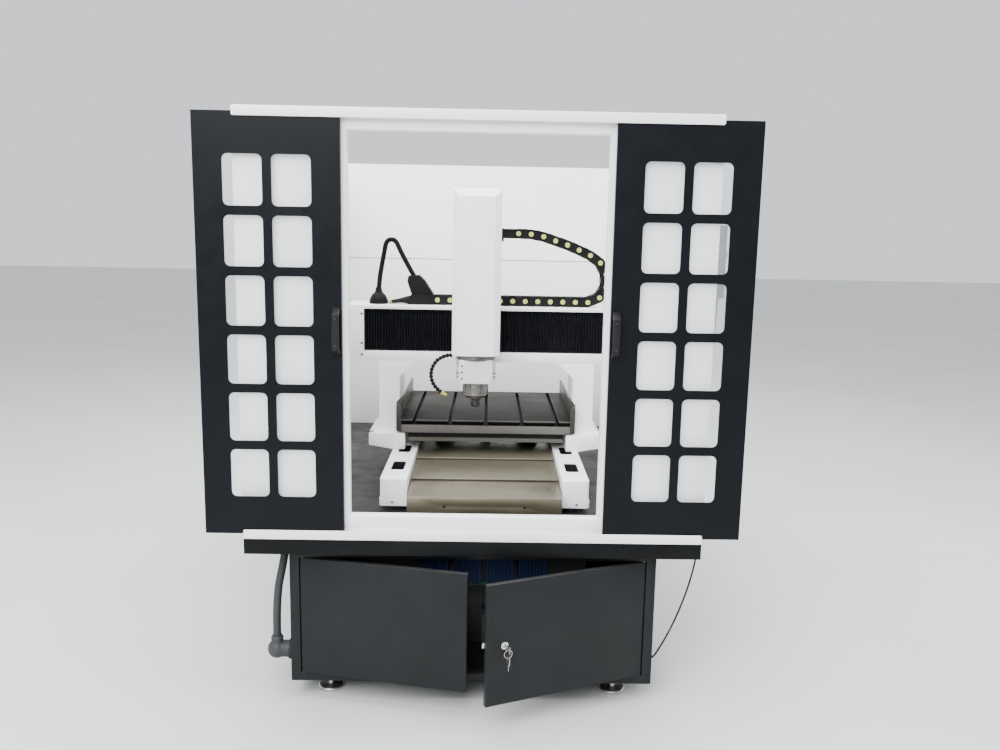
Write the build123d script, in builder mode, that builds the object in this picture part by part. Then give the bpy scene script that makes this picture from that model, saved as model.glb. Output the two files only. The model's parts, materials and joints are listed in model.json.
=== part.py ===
from build123d import *
import os
from math import cos, hypot, pi, radians, sin, tan

os.makedirs("parts", exist_ok=True)

# Driving dimensions, in millimetres. X runs across the machine, Y towards its back, Z up.

# Sheet metal and general clearances
sheet = 2.0
panel_depth = 33.0
seat_gap = 0.3
bore_clearance = 0.05

# Sliding door rails
rail_length = 1450.0
rail_height = 30.0
rail_depth = 26.0
rail_wall = 2.0
rail_end_radius = 6.0
rail_spacing = 1262.0

# Cabinet under the machine
foot_gap = 64.0
cabinet_width = 1190.0
cabinet_height = 456.0
cabinet_depth = 1500.0
cabinet_setback = 52.0
cabinet_wall = 3.0
cabinet_border = 31.0
cabinet_border_low = 28.0
cabinet_border_high = 29.0
border_return = 18.0
foot_pad_radius = 43.0
foot_pad_height = 12.0
foot_pad_bevel = 4.0
foot_stem_radius = 8.0
foot_nut_width = 24.0
foot_nut_height = 12.0
foot_inset_x = 115.0
foot_inset_y = 85.0

# Cabinet doors, hung on pins
cabinet_door_gap = 2.0
cabinet_door_thickness = 18.0
hinge_pin_radius = 4.0
hinge_pin_length = 12.0
hinge_collar_radius = 7.0
left_door_angle = 12.7
right_door_angle = 22.3

# Cam lock and keys of the right cabinet door
lock_from_edge = 60.0
lock_height = 197.0
lock_radius = 12.0
lock_neck_radius = 10.0
lock_collar = 4.0
plug_radius = 8.0
plug_proud = 3.0
plug_slot_depth = 6.0
plug_slot_height = 10.0
cam_length = 66.0
cam_width = 16.0
cam_thickness = 2.5
key_thickness = 2.4
key_side_gap = 0.3
key_shank = 12.0
key_shank_height = 8.0
key_bow = 24.0
key_bow_height = 24.0
key_eye_radius = 3.0
key_eye_rim = 3.0
key_ring_radius = 13.0
key_ring_wire = 1.0
spare_key_length = 46.0

# Control boxes inside the cabinet
control_plate_width = 800.0
control_plate_setback = 280.0
control_plate_thickness = 3.0
drive_count = 4
drive_box_width = 96.0
drive_box_depth = 130.0
drive_box_height = 150.0
drive_box_pitch = 112.0
drive_box_drop = 20.0
drive_fin_depth = 6.0
drive_fin_pitch = 12.0
supply_box_width = 230.0
supply_box_spacing = 290.0
supply_box_height = 130.0
supply_box_depth = 90.0
supply_box_rise = 20.0

# Tray that carries the machine and the enclosure
tray_height = 50.0
tray_depth = 1745.0
tray_wall = 3.0
bearer_count = 4
bearer_width = 40.0
bearer_pitch = 373.0

# Enclosure walls
frame_width = 1466.0
frame_drop = 2.0
opening_width = 788.0
sill_height = 71.0
lintel_height = 58.0
opening_return = 40.0
side_panel_drop = 40.0
rear_panel_drop = 30.0
ledge_depth = 30.0
ledge_low = 835.0
ledge_high = 927.0
rear_flange = 58.0

# Sliding doors and their windows
door_width = 435.0
door_lap = 14.0
door_thickness = 16.0
door_skin = 2.0
door_open_x = 409.0
window_columns = 2
window_rows = 6
window_width = 117.0
window_height = 151.0
window_pitch_x = 145.0
window_pitch_z = 179.0
window_corner = 17.0
pane_thickness = 3.0
pane_lap = 18.0
glide_length = 40.0
glide_first = 60.0
glide_pitch = 200.0
glide_side_gap = 1.0
handle_length = 149.0
handle_width = 22.0
handle_reach = 30.0
handle_bar = 9.0
handle_foot = 14.0
handle_slope = 20.0
handle_inset = 5.0
handle_rise = 571.0
handle_round = 3.0

# Machine bed
machine_x = 33.0
bed_setback = 280.0
bed_width = 727.0
bed_length = 1200.0
bed_height = 96.0
bed_corner = 14.0
bed_pad_height = 24.0
bed_pad_radius = 30.0
bed_pad_inset = 60.0
plinth_height = 25.0
plinth_step = 3.0
trough_width = 540.0
trough_floor = 12.0
trough_end_wall = 20.0
pocket_width = 48.0
pocket_length = 125.0
pocket_depth = 60.0
pocket_inset = 125.0
pocket_pitch = 255.0
pocket_corner = 12.0

# Linear rails, blocks, screws and motors
linear_rail_width = 20.0
linear_rail_height = 20.0
linear_rail_groove = 3.0
groove_start = 0.4
groove_floor_start = 0.5
groove_floor_end = 0.7
groove_end = 0.8
y_rail_spacing = 380.0
y_rail_ledge = 14.0
y_rail_ledge_width = 36.0
y_rail_start = 20.0
y_rail_length = 1100.0
block_length = 75.0
block_width = 44.0
block_height = 30.0
block_gap = 0.4
block_lift = 4.0
screw_radius = 10.0
y_screw_height = 20.0
y_screw_tail = 8.0
support_length = 36.0
support_width = 80.0
support_height = 46.0
y_support_pitch = 1120.0
motor_size = 60.0
motor_length = 85.0
motor_flange = 8.0
motor_flange_step = 2.0
motor_corner = 6.0
motor_socket = 16.0
shaft_entry = 15.0
screw_nut_width = 50.0

# Telescopic way cover in front of the table
cover_sheet = 2.0
cover_front_setback = 170.0
cover_fixed_width = 521.0
cover_length = 310.0
cover_side_gap = 1.0
cover_step = 8.0
cover_fixed_height = 54.0
cover_middle_offset = 207.0
cover_top_offset = 467.0
cover_skirt_gap = 2.0
cover_front_drop = 6.0
cover_hole_radius = 4.0
cover_hole_spacing = 270.0
cover_hole_drop = 30.0

# Folded way cover behind the table
rear_cover_folds = 7
rear_cover_wall = 8.0
rear_cover_fold_depth = 4.0
rear_cover_half_width = 264.0
rear_cover_height = 70.0

# Table
table_width = 682.0
table_length = 660.0
table_setback = 700.0
table_thickness = 47.0
table_gap = 69.0
slot_count = 5
slot_pitch = 141.0
slot_neck = 14.0
slot_neck_depth = 14.0
slot_base = 24.0
slot_base_depth = 10.0
gutter_lip = 8.0
gutter_lip_drop = 16.0
gutter_width = 14.0
gutter_depth = 24.0
saddle_width = 80.0
block_front_offset = 340.0
block_rear_offset = 570.0
nut_bracket_offset = 450.0
nut_bracket_length = 50.0
guard_height = 60.0
guard_lift = 3.0
guard_flange = 8.0
guard_end_width = 18.0

# Columns and beam of the gantry
column_gap = 708.0
column_width = 68.0
column_setback = 742.0
column_depth = 208.0
column_head_inset = 14.0
column_seam = 195.0
column_bracket = 62.0
column_foot_width = 141.0
column_foot_inner = 37.0
column_foot_height = 65.0
column_foot_length = 300.0
column_foot_forward = 42.0
column_foot_slope = 16.0
column_gusset = 34.0
beam_low = 346.0
beam_height = 216.0
beam_inner_length = 960.0
beam_depth = 208.0
beam_lip_top = 14.0
beam_lip_low = 38.0
beam_web = 110.0
end_block_length = 72.0
end_block_wall = 4.0
end_block_pocket = 50.0
end_block_pocket_depth = 30.0
end_block_round = 4.0

# Bellows in the beam's channel
bellows_depth = 20.0
bellows_setback = 4.0
bellows_gap = 1.0
bellows_fold = 15.0
bellows_sheet = 3.0
bellows_tuck = 45.0

# Crossways rails and blocks
x_rail_inset = 36.0
x_block_spacing = 96.0
x_block_front = 15.0
x_screw_nut_height = 40.0

# Head that runs along the beam
head_offset = -41.0
head_width = 176.0
head_setback = 512.0
head_depth = 223.0
head_low = 400.0
head_height = 604.0
head_chamfer = 24.0
head_bevel = 30.0
head_plate_thickness = 35.0
head_plate_height = 516.0
head_neck_width = 80.0
head_rear_plate = 15.0
head_rear_plate_width = 160.0
head_channel_gap = 5.0
z_rail_spacing = 110.0
z_rail_width = 15.0
z_rail_height = 15.0
z_rail_rise = 5.0
z_rail_length = 500.0
z_screw_radius = 8.0
z_screw_standoff = 20.0
z_support_thickness = 10.0
z_support_half_width = 22.0
z_support_reach = 35.0
z_motor_size = 56.0
z_motor_length = 76.0
chain_arm_start = 28.0
chain_arm_end = 100.0
chain_arm_thickness = 6.0

# Spindle and its carriage
spindle_setback = 592.0
spindle_radius = 48.0
spindle_disc_radius = 75.0
spindle_disc_height = 14.0
spindle_disc_gap = 3.0
spindle_disc_flat = 47.5
spindle_housing_radius = 47.0
spindle_housing_height = 235.0
spindle_nose_drop = 50.0
spindle_cone_drop = 15.0
spindle_cone_radius = 27.0
clamp_rise = 295.0
clamp_width = 126.0
clamp_height = 88.0
clamp_front = 58.0
clamp_split = 3.0
clamp_round = 6.0
slide_plate_width = 140.0
slide_plate_thickness = 22.0
slide_plate_height = 220.0
slide_block_rise = 157.0
slide_block_height = 60.0
slide_block_width = 34.0
slide_block_reach = 33.0
slide_nut_rise = 168.0
slide_nut_height = 44.0
slide_nut_half_width = 20.0
slide_nut_reach = 29.0
shaft_radius = 15.0
shaft_length = 350.0
collet_neck_radius = 10.0
collet_neck_length = 25.0
tool_hole_radius = 4.0
tool_hole_depth = 18.0
nut_radius = 17.0
nut_drop = 4.0
nut_gap = 2.0
nut_slot_count = 6
nut_slot = 5.0
nut_slot_depth = 3.0
nut_slot_length = 17.4

# Coolant hose of short stiff segments
coolant_setback = 575.0
coolant_segment_radius = 6.5
coolant_segment_length = 8.5
coolant_neck_radius = 5.0
coolant_segment_count = 17
coolant_start_gap = 1.0
coolant_bend_reach = 84.0
coolant_bend_drop = 62.0
coolant_end_reach = 26.0
coolant_end_drop = 150.0
coolant_mount_width = 14.0
coolant_mount_height = 14.0
coolant_nozzle_length = 26.0
coolant_nozzle_tip_radius = 3.0

# Drag chain
chain_pitch = 49.5
chain_height = 40.0
chain_width = 60.0
chain_pin_radius = 10.0
chain_pin_proud = 1.5
chain_setback = 800.0
chain_inset = 182.5
chain_straight_links = 14
chain_bend_angles = (23, 61, 92, 118, 145, 156, 158, 162, 162, 170, 178)
chain_end_plate = 8.0
chain_foot_height = 10.0

# Conduit with its gland dome and hood on top of the beam
conduit_diameter = 20.0
conduit_setback = 830.0
conduit_tuck = 4.0
dome_inset = 47.0
dome_radius = 36.5
dome_height = 47.0
dome_top_radius = 11.0
hood_depth = 52.0
hood_round = 6.5

# Waste hose and its elbow at the left of the cabinet
waste_hose_diameter = 27.0
waste_hose_setback = 120.0
elbow_radius = 32.0
elbow_height = 143.0
elbow_offset = 61.0
elbow_neck_radius = 20.0
elbow_neck_height = 40.0
elbow_arm_radius = 28.0
collar_radius = 34.0
collar_length = 20.0
collar_ribs = 4

# Handset on the right wall
handset_setback = 62.0
handset_width = 78.0
handset_length = 225.0
handset_thickness = 22.0
handset_rise = 778.0
handset_corner = 8.0
hook_reach = 13.0
hook_width = 40.0
hook_height = 60.0
lead_diameter = 6.0

# Heights that follow from the stack of cabinet, tray and rails
cabinet_low_z = foot_gap
cabinet_top_z = cabinet_low_z + cabinet_height
tray_top_z = cabinet_top_z + tray_height
low_rail_top_z = tray_top_z + rail_height
high_rail_low_z = low_rail_top_z + rail_spacing

# Cabinet door hinges, and the foremost key that sets the Y origin
half_cabinet = cabinet_width / 2
door_half_opening = half_cabinet - cabinet_border
hinge_inset = cabinet_door_thickness / 2
hinge_x = door_half_opening - cabinet_door_gap / 2 - hinge_inset
cabinet_door_length = hinge_x - cabinet_door_gap / 2
lock_distance = cabinet_door_length - lock_from_edge
key_half = key_thickness / 2 - key_side_gap
key_reach = hinge_inset + lock_collar + plug_proud + key_shank + key_bow
foremost_key = (
    cabinet_setback
    + hinge_inset
    - (lock_distance + key_half) * sin(radians(right_door_angle))
    - key_reach * cos(radians(right_door_angle))
)
# The Y origin lies midway between that key and the rear wall
rail_face_y = -(foremost_key + tray_depth) / 2


def back(distance):
    """Give the Y of a plane that lies a distance behind the rails' front face."""
    return rail_face_y + distance


def span_box(xs, ys, zs, mode=Mode.ADD):
    """Add or cut a box between two X, two Y and two Z values."""
    with Locations(((xs[0] + xs[1]) / 2, (ys[0] + ys[1]) / 2, (zs[0] + zs[1]) / 2)):
        return Box(abs(xs[1] - xs[0]), abs(ys[1] - ys[0]), abs(zs[1] - zs[0]), mode=mode)


def spread(centre, half):
    """Give the two values at half a width below and above a centre."""
    return (centre - half, centre + half)


def beside(centre, side, inner, outer):
    """Give two X values at one side, -1 or 1, of a centre line."""
    return (centre + side * inner, centre + side * outer)


def front_plane(y):
    """Give the plane at a Y whose own X and Y are the machine's X and Z."""
    return Plane(origin=(0, y, 0), x_dir=(1, 0, 0), z_dir=(0, -1, 0))


def side_plane(x):
    """Give the plane at an X whose own X and Y are the machine's Y and Z."""
    return Plane(origin=(x, 0, 0), x_dir=(0, 1, 0), z_dir=(1, 0, 0))


def rod(plane, radius, length, mode=Mode.ADD):
    """Add or cut a cylinder that stands on a plane's origin."""
    with Locations(plane.location):
        Cylinder(radius, length, align=(Align.CENTER, Align.CENTER, Align.MIN), mode=mode)


def bend_radii(route):
    """Give each corner of a hose route the largest radius that its runs allow."""
    radii = []
    for before, corner, after in zip(route, route[1:], route[2:]):
        run_in = Vector(*corner) - Vector(*before)
        run_out = Vector(*after) - Vector(*corner)
        half_turn = radians(run_in.get_angle(run_out)) / 2
        radii.append(0.45 * min(run_in.length, run_out.length) / tan(half_turn))
    return radii


def hose(route, diameter, name):
    """Make a plain tube along a route, and print its length, volume and bend radii."""
    radii = bend_radii(route)
    with BuildPart() as tube:
        with BuildLine() as path:
            FilletPolyline(*route, radius=radii)
        wire = path.wires()[0]
        with BuildSketch(Plane(origin=route[0], z_dir=Vector(*route[1]) - Vector(*route[0]))):
            Circle(diameter / 2)
        sweep(path=wire)
    swept = tube.part.volume / (pi * diameter**2 / 4)
    rounded = [round(radius) for radius in radii]
    print(name, "length", round(wire.length), "from volume", round(swept), "radii", rounded)
    return tube


def write_piece(piece, label):
    """Label a finished piece and write it to its own file."""
    piece.part.label = label
    export_step(piece.part, f"parts/{label}.step")


# Cabinet shell
cabinet_front_y = back(cabinet_setback)
cabinet_back_y = cabinet_front_y + cabinet_depth
door_low_z = cabinet_low_z + cabinet_border_low
door_high_z = cabinet_top_z - cabinet_border_high
inner_cabinet = half_cabinet - cabinet_wall
border_ys = (cabinet_front_y, cabinet_front_y + border_return)
with BuildPart() as cabinet_shell:
    span_box(spread(0, half_cabinet), (cabinet_front_y, cabinet_back_y), (cabinet_low_z, cabinet_top_z))
    span_box(
        spread(0, inner_cabinet),
        (cabinet_front_y + cabinet_wall, cabinet_back_y - cabinet_wall),
        (cabinet_low_z + cabinet_wall, cabinet_top_z - cabinet_wall),
        mode=Mode.SUBTRACT,
    )
    span_box(
        (-door_half_opening - cabinet_wall, door_half_opening + cabinet_wall),
        border_ys,
        (door_low_z - cabinet_wall, door_high_z + cabinet_wall),
    )
    span_box(spread(0, door_half_opening), border_ys, (door_low_z, door_high_z), mode=Mode.SUBTRACT)
write_piece(cabinet_shell, "cabinet_shell")

# Levelling feet: a round pad with its stem, and a lock nut under the cabinet
foot_xs = (-half_cabinet + foot_inset_x, half_cabinet - foot_inset_x)
foot_ys = (cabinet_front_y + foot_inset_y, cabinet_back_y - foot_inset_y)
foot_places = [(x, y) for x in foot_xs for y in foot_ys]
with BuildPart() as levelling_feet:
    with BuildSketch(Plane.XY):
        with Locations(*foot_places):
            Circle(foot_pad_radius)
    extrude(amount=foot_pad_height)
    pad_rims = levelling_feet.faces().filter_by(Plane.XY).group_by(Axis.Z)[-1].edges()
    chamfer(pad_rims, foot_pad_bevel)
    with BuildSketch(Plane.XY.offset(foot_pad_height)):
        with Locations(*foot_places):
            Circle(foot_stem_radius)
    extrude(amount=cabinet_low_z - foot_pad_height)
    with BuildSketch(Plane.XY.offset(cabinet_low_z - foot_nut_height)):
        with Locations(*foot_places):
            RegularPolygon(foot_nut_width / 2, 6, major_radius=False)
            Circle(foot_stem_radius + bore_clearance, mode=Mode.SUBTRACT)
    extrude(amount=foot_nut_height)
write_piece(levelling_feet, "levelling_feet")

# Control boxes on their mounting plate
plate_y = cabinet_front_y + control_plate_setback
plate_low_z = cabinet_low_z + cabinet_wall
drive_high_z = cabinet_top_z - cabinet_wall - drive_box_drop
with BuildPart() as control_boxes:
    span_box(
        spread(0, control_plate_width / 2),
        (plate_y, plate_y + control_plate_thickness),
        (plate_low_z, drive_high_z),
    )
    for index in range(drive_count):
        box_x = machine_x + (index - (drive_count - 1) / 2) * drive_box_pitch
        box_front = plate_y - drive_box_depth
        span_box(
            spread(box_x, drive_box_width / 2),
            (box_front, plate_y),
            (drive_high_z - drive_box_height, drive_high_z),
        )
        fins = int((drive_box_width - drive_fin_pitch) / drive_fin_pitch)
        with Locations((box_x, box_front + drive_fin_depth / 2, drive_high_z - drive_box_height / 2)):
            with GridLocations(drive_fin_pitch, 1, fins, 1):
                Box(drive_fin_pitch / 2, drive_fin_depth, drive_box_height, mode=Mode.SUBTRACT)
    for side in (-1, 1):
        supply_x = side * supply_box_spacing / 2
        supply_z = plate_low_z + supply_box_rise
        span_box(
            spread(supply_x, supply_box_width / 2),
            (plate_y - supply_box_depth, plate_y),
            (supply_z, supply_z + supply_box_height),
        )
write_piece(control_boxes, "control_boxes")

# Pins and collars that the cabinet doors hang on
hinge_y = cabinet_front_y + hinge_inset
with BuildPart() as cabinet_hinge_pins:
    for side in (-1, 1):
        for pin_z, direction in ((door_low_z, 1), (door_high_z, -1)):
            pin_plane = Plane(origin=(side * hinge_x, hinge_y, pin_z), z_dir=(0, 0, direction))
            rod(pin_plane, hinge_pin_radius, hinge_pin_length)
            rod(pin_plane, hinge_collar_radius, cabinet_door_gap - seat_gap)
write_piece(cabinet_hinge_pins, "cabinet_hinge_pins")


def door_frame(side, angle):
    """Give a cabinet door's own plane: X along the door from its hinge pin, Z up."""
    turn = radians(angle)
    return Plane(
        origin=(side * hinge_x, hinge_y, 0),
        x_dir=(-side * cos(turn), -sin(turn), 0),
        z_dir=(0, 0, 1),
    )


def cabinet_door(side, angle, lock_z=None):
    """Make a folded pan door that stands open about its hinge pins."""
    half = cabinet_door_thickness / 2
    low = door_low_z + cabinet_door_gap
    high = door_high_z - cabinet_door_gap
    with BuildPart(door_frame(side, angle)) as door:
        span_box((-hinge_inset, cabinet_door_length), spread(0, half), (low, high))
        hinge_edges = door.edges().filter_by(Axis.Z).filter_by(
            lambda edge: hypot(edge.center().X - side * hinge_x, edge.center().Y - hinge_y) < 2 * half
        )
        fillet(hinge_edges, half - bore_clearance)
        span_box(
            (hinge_inset, cabinet_door_length - sheet),
            (-side * half, side * (half - sheet)),
            (low + sheet, high - sheet),
            mode=Mode.SUBTRACT,
        )
        with Locations((0, 0, low), (0, 0, high)):
            Cylinder(hinge_pin_radius + bore_clearance, 2 * hinge_pin_length, mode=Mode.SUBTRACT)
        if lock_z is not None:
            with Locations(Location((lock_distance, side * half, lock_z), (90, 0, 0))):
                Cylinder(lock_neck_radius, 4 * sheet, mode=Mode.SUBTRACT)
    return door


# Cabinet doors
lock_z = door_low_z + lock_height
cabinet_door_left = cabinet_door(-1, left_door_angle)
write_piece(cabinet_door_left, "cabinet_door_left")
cabinet_door_right = cabinet_door(1, right_door_angle, lock_z)
write_piece(cabinet_door_right, "cabinet_door_right")

# Cam lock housing: a collar in front of the door's skin, a neck through it and a barrel behind
lock_frame = door_frame(1, right_door_angle)
barrel_low = -hinge_inset
barrel_high = hinge_inset - sheet


def along_lock(low, high, radius, mode=Mode.ADD):
    """Add or cut a round length of the lock between two depths of the door."""
    with Locations(Location((lock_distance, (low + high) / 2, lock_z), (90, 0, 0))):
        Cylinder(radius, high - low, mode=mode)


with BuildPart(lock_frame) as lock_housing:
    along_lock(hinge_inset, hinge_inset + lock_collar, lock_radius)
    along_lock(barrel_low, barrel_high, lock_radius)
    along_lock(barrel_low, hinge_inset + lock_collar, lock_neck_radius)
    along_lock(barrel_low, hinge_inset + lock_collar, plug_radius + bore_clearance, mode=Mode.SUBTRACT)
write_piece(lock_housing, "lock_housing")

# Lock plug with its cam behind the door
plug_front = hinge_inset + lock_collar + plug_proud
plug_back = barrel_low - seat_gap - cam_thickness
with BuildPart(lock_frame) as lock_plug:
    along_lock(plug_back, plug_front, plug_radius)
    span_box(
        (lock_distance - cam_width / 2, lock_distance + cam_length),
        (plug_back, plug_back + cam_thickness),
        spread(lock_z, cam_width / 2),
    )
    span_box(
        spread(lock_distance, key_thickness / 2),
        (plug_front - plug_slot_depth, plug_front),
        spread(lock_z, plug_slot_height / 2),
        mode=Mode.SUBTRACT,
    )
write_piece(lock_plug, "lock_plug")

# Keys: one in the plug, a ring through its bow, and a spare key that hangs from the ring
bow_low = plug_front + key_shank
ring_y = bow_low + key_bow / 2
ring_slack = key_eye_radius - key_ring_wire - seat_gap
ring_z = lock_z - ring_slack - key_ring_radius
spare_eye_z = ring_z - key_ring_radius - ring_slack
spare_top = spare_eye_z + key_eye_radius + key_eye_rim
key_xs = spread(lock_distance, key_half)
bow_ys = spread(ring_y, key_bow_height / 2)
shank_ys = spread(ring_y, key_shank_height / 2)
with BuildPart(lock_frame) as door_keys:
    span_box(
        key_xs, (plug_front - plug_slot_depth, bow_low), spread(lock_z, key_shank_height / 2)
    )
    span_box(key_xs, (bow_low, bow_low + key_bow), spread(lock_z, key_bow_height / 2))
    span_box(key_xs, bow_ys, (spare_top - key_bow, spare_top))
    span_box(key_xs, shank_ys, (spare_top - spare_key_length, spare_top - key_bow))
    for eye_z in (lock_z, spare_eye_z):
        with Locations(Location((lock_distance, ring_y, eye_z), (0, 90, 0))):
            Cylinder(key_eye_radius, 4 * key_thickness, mode=Mode.SUBTRACT)
    with Locations(Location((lock_distance, ring_y, ring_z), (90, 0, 0))):
        Torus(key_ring_radius, key_ring_wire)
write_piece(door_keys, "door_keys")

# Tray: a plate with a folded edge, welded to lengthways bearers
half_tray = rail_length / 2
tray_front_y = back(0)
tray_back_y = back(tray_depth)
with BuildPart() as base_tray:
    span_box(spread(0, half_tray), (tray_front_y, tray_back_y), (cabinet_top_z, tray_top_z))
    span_box(
        (-half_tray + tray_wall, half_tray - tray_wall),
        (tray_front_y + tray_wall, tray_back_y - tray_wall),
        (cabinet_top_z, tray_top_z - tray_wall),
        mode=Mode.SUBTRACT,
    )
    for index in range(bearer_count):
        bearer_x = (index - (bearer_count - 1) / 2) * bearer_pitch
        span_box(
            spread(bearer_x, bearer_width / 2),
            (tray_front_y + tray_wall, tray_back_y - tray_wall),
            (cabinet_top_z, tray_top_z - tray_wall),
        )
write_piece(base_tray, "base_tray")


def door_rail(low_z, floor_low):
    """Make a sliding door rail: a channel with rounded ends, open up or down."""
    ys = (tray_front_y, tray_front_y + rail_depth)
    inner_low = low_z + rail_wall if floor_low else low_z
    inner_high = low_z + rail_height if floor_low else low_z + rail_height - rail_wall
    with BuildPart() as rail:
        span_box(spread(0, half_tray), ys, (low_z, low_z + rail_height))
        fillet(rail.edges().filter_by(Axis.Y), rail_end_radius)
        span_box(
            spread(0, half_tray),
            (ys[0] + rail_wall, ys[1] - rail_wall),
            (inner_low, inner_high),
            mode=Mode.SUBTRACT,
        )
    return rail


# Rails of the sliding doors
bottom_rail = door_rail(tray_top_z, True)
write_piece(bottom_rail, "bottom_rail")
top_rail = door_rail(high_rail_low_z, False)
write_piece(top_rail, "top_rail")

# Front frame: a folded sheet with returns round the door opening, at both sides and at the top
half_frame = frame_width / 2
half_opening = opening_width / 2
frame_top_z = high_rail_low_z + rail_height - frame_drop
opening_zs = (tray_top_z + sill_height, frame_top_z - lintel_height)
frame_front_y = back(rail_depth)
return_ys = (frame_front_y, frame_front_y + opening_return)
with BuildPart() as front_frame:
    span_box(spread(0, half_frame), (frame_front_y, frame_front_y + sheet), (tray_top_z, frame_top_z))
    for side in (-1, 1):
        span_box(beside(0, side, half_frame - sheet, half_frame), return_ys, (tray_top_z, frame_top_z))
    span_box(spread(0, half_frame), return_ys, (frame_top_z - sheet, frame_top_z))
    span_box(
        (-half_opening - sheet, half_opening + sheet),
        return_ys,
        (opening_zs[0] - sheet, opening_zs[1] + sheet),
    )
    span_box(spread(0, half_opening), return_ys, opening_zs, mode=Mode.SUBTRACT)
write_piece(front_frame, "front_frame")

# Side panels: shallow folded pans between the front frame and the rear panel
panel_outer_x = half_frame - sheet
panel_front_y = frame_front_y + sheet
panel_back_y = tray_back_y - rear_flange
side_panel_top_z = frame_top_z - side_panel_drop


def side_panel(side):
    """Make one side wall of the enclosure as a folded pan, open to the inside."""
    with BuildPart() as panel:
        span_box(
            beside(0, side, panel_outer_x - panel_depth, panel_outer_x),
            (panel_front_y, panel_back_y),
            (tray_top_z, side_panel_top_z),
        )
        span_box(
            beside(0, side, panel_outer_x - panel_depth, panel_outer_x - sheet),
            (panel_front_y + sheet, panel_back_y - sheet),
            (tray_top_z + sheet, side_panel_top_z - sheet),
            mode=Mode.SUBTRACT,
        )
    return panel


left_side_panel = side_panel(-1)
write_piece(left_side_panel, "left_side_panel")
handset_low_z = tray_top_z + handset_rise
hook_centre_y = back(handset_setback) + handset_width / 2
hook_top_z = handset_low_z + handset_length
right_side_panel = side_panel(1)
with right_side_panel:
    span_box(
        (panel_outer_x, panel_outer_x + hook_reach),
        spread(hook_centre_y, hook_width / 2),
        (hook_top_z - hook_height, hook_top_z),
    )
write_piece(right_side_panel, "right_side_panel")

# Rear panel: one sheet that steps forward below a sloping ledge, with a flange at each side
rear_top_z = frame_top_z - rear_panel_drop
ledge_low_z = tray_top_z + ledge_low
ledge_high_z = tray_top_z + ledge_high
with BuildPart() as rear_panel:
    with BuildSketch(side_plane(-panel_outer_x)):
        with BuildLine():
            Polyline(
                (tray_back_y, rear_top_z),
                (tray_back_y, ledge_high_z),
                (tray_back_y - ledge_depth, ledge_low_z),
                (tray_back_y - ledge_depth, tray_top_z),
                (tray_back_y - ledge_depth - sheet, tray_top_z),
                (tray_back_y - ledge_depth - sheet, ledge_low_z),
                (tray_back_y - sheet, ledge_high_z),
                (tray_back_y - sheet, rear_top_z),
                close=True,
            )
        make_face()
    extrude(amount=2 * panel_outer_x)
    for side in (-1, 1):
        span_box(
            beside(0, side, panel_outer_x - sheet, panel_outer_x),
            (panel_back_y, tray_back_y),
            (tray_top_z, rear_top_z),
        )
write_piece(rear_panel, "rear_panel")

# Sliding doors: folded pans with windows, carried on glides in the two rails
door_low_edge_z = low_rail_top_z - door_lap
door_high_edge_z = high_rail_low_z + door_lap
door_front_y = back((rail_depth - door_thickness) / 2)
door_back_y = door_front_y + door_thickness
rail_inner_ys = spread(tray_front_y + rail_depth / 2, rail_depth / 2 - rail_wall - glide_side_gap)
window_field_x = (window_columns - 1) * window_pitch_x + window_width
window_field_z = (window_rows - 1) * window_pitch_z + window_height


def sliding_door(side):
    """Make one sliding door with its window openings and its glides."""
    inner_x = side * door_open_x
    outer_x = side * (door_open_x + door_width)
    centre = ((inner_x + outer_x) / 2, (door_low_edge_z + door_high_edge_z) / 2)
    with BuildPart() as door:
        span_box((inner_x, outer_x), (door_front_y, door_back_y), (door_low_edge_z, door_high_edge_z))
        span_box(
            (inner_x + side * sheet, outer_x - side * sheet),
            (door_front_y + door_skin, door_back_y),
            (door_low_edge_z + sheet, door_high_edge_z - sheet),
            mode=Mode.SUBTRACT,
        )
        with BuildSketch(front_plane(door_front_y)):
            with Locations(centre):
                with GridLocations(window_pitch_x, window_pitch_z, window_columns, window_rows):
                    RectangleRounded(window_width, window_height, window_corner)
        extrude(amount=-door_skin, mode=Mode.SUBTRACT)
        for number in range(2):
            glide_x = inner_x + side * (glide_first + number * glide_pitch)
            glide_xs = spread(glide_x, glide_length / 2)
            span_box(glide_xs, rail_inner_ys, (tray_top_z + rail_wall + seat_gap, door_low_edge_z + sheet))
            span_box(
                glide_xs,
                rail_inner_ys,
                (door_high_edge_z - sheet, high_rail_low_z + rail_height - rail_wall - glide_side_gap),
            )
    return door


def door_pane(side):
    """Make the clear sheet that lies behind all the windows of one door."""
    centre_x = side * (door_open_x + door_width / 2)
    centre_z = (door_low_edge_z + door_high_edge_z) / 2
    with BuildPart() as pane:
        with BuildSketch(front_plane(door_front_y + door_skin)):
            with Locations((centre_x, centre_z)):
                RectangleRounded(window_field_x + 2 * pane_lap, window_field_z + 2 * pane_lap, window_corner)
        extrude(amount=-pane_thickness)
    return pane


def door_handle(side):
    """Make the bow handle at a sliding door's inner edge."""
    low_z = door_low_edge_z + handle_rise
    high_z = low_z + handle_length
    reach_y = door_front_y - handle_reach
    middle_x = side * (door_open_x + handle_inset + handle_width / 2)
    inner_y = reach_y + handle_bar
    with BuildPart() as handle:
        with BuildSketch(side_plane(middle_x)):
            with BuildLine():
                Polyline(
                    (door_front_y, low_z),
                    (reach_y, low_z + handle_slope),
                    (reach_y, high_z - handle_slope),
                    (door_front_y, high_z),
                    (door_front_y, high_z - handle_foot),
                    (inner_y, high_z - handle_slope - handle_foot / 2),
                    (inner_y, low_z + handle_slope + handle_foot / 2),
                    (door_front_y, low_z + handle_foot),
                    close=True,
                )
            make_face()
        extrude(amount=handle_width / 2, both=True)
        outer_edges = handle.faces().sort_by(Axis.Y)[0].edges().filter_by(Axis.Z)
        fillet(outer_edges, handle_round)
    return handle


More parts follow.
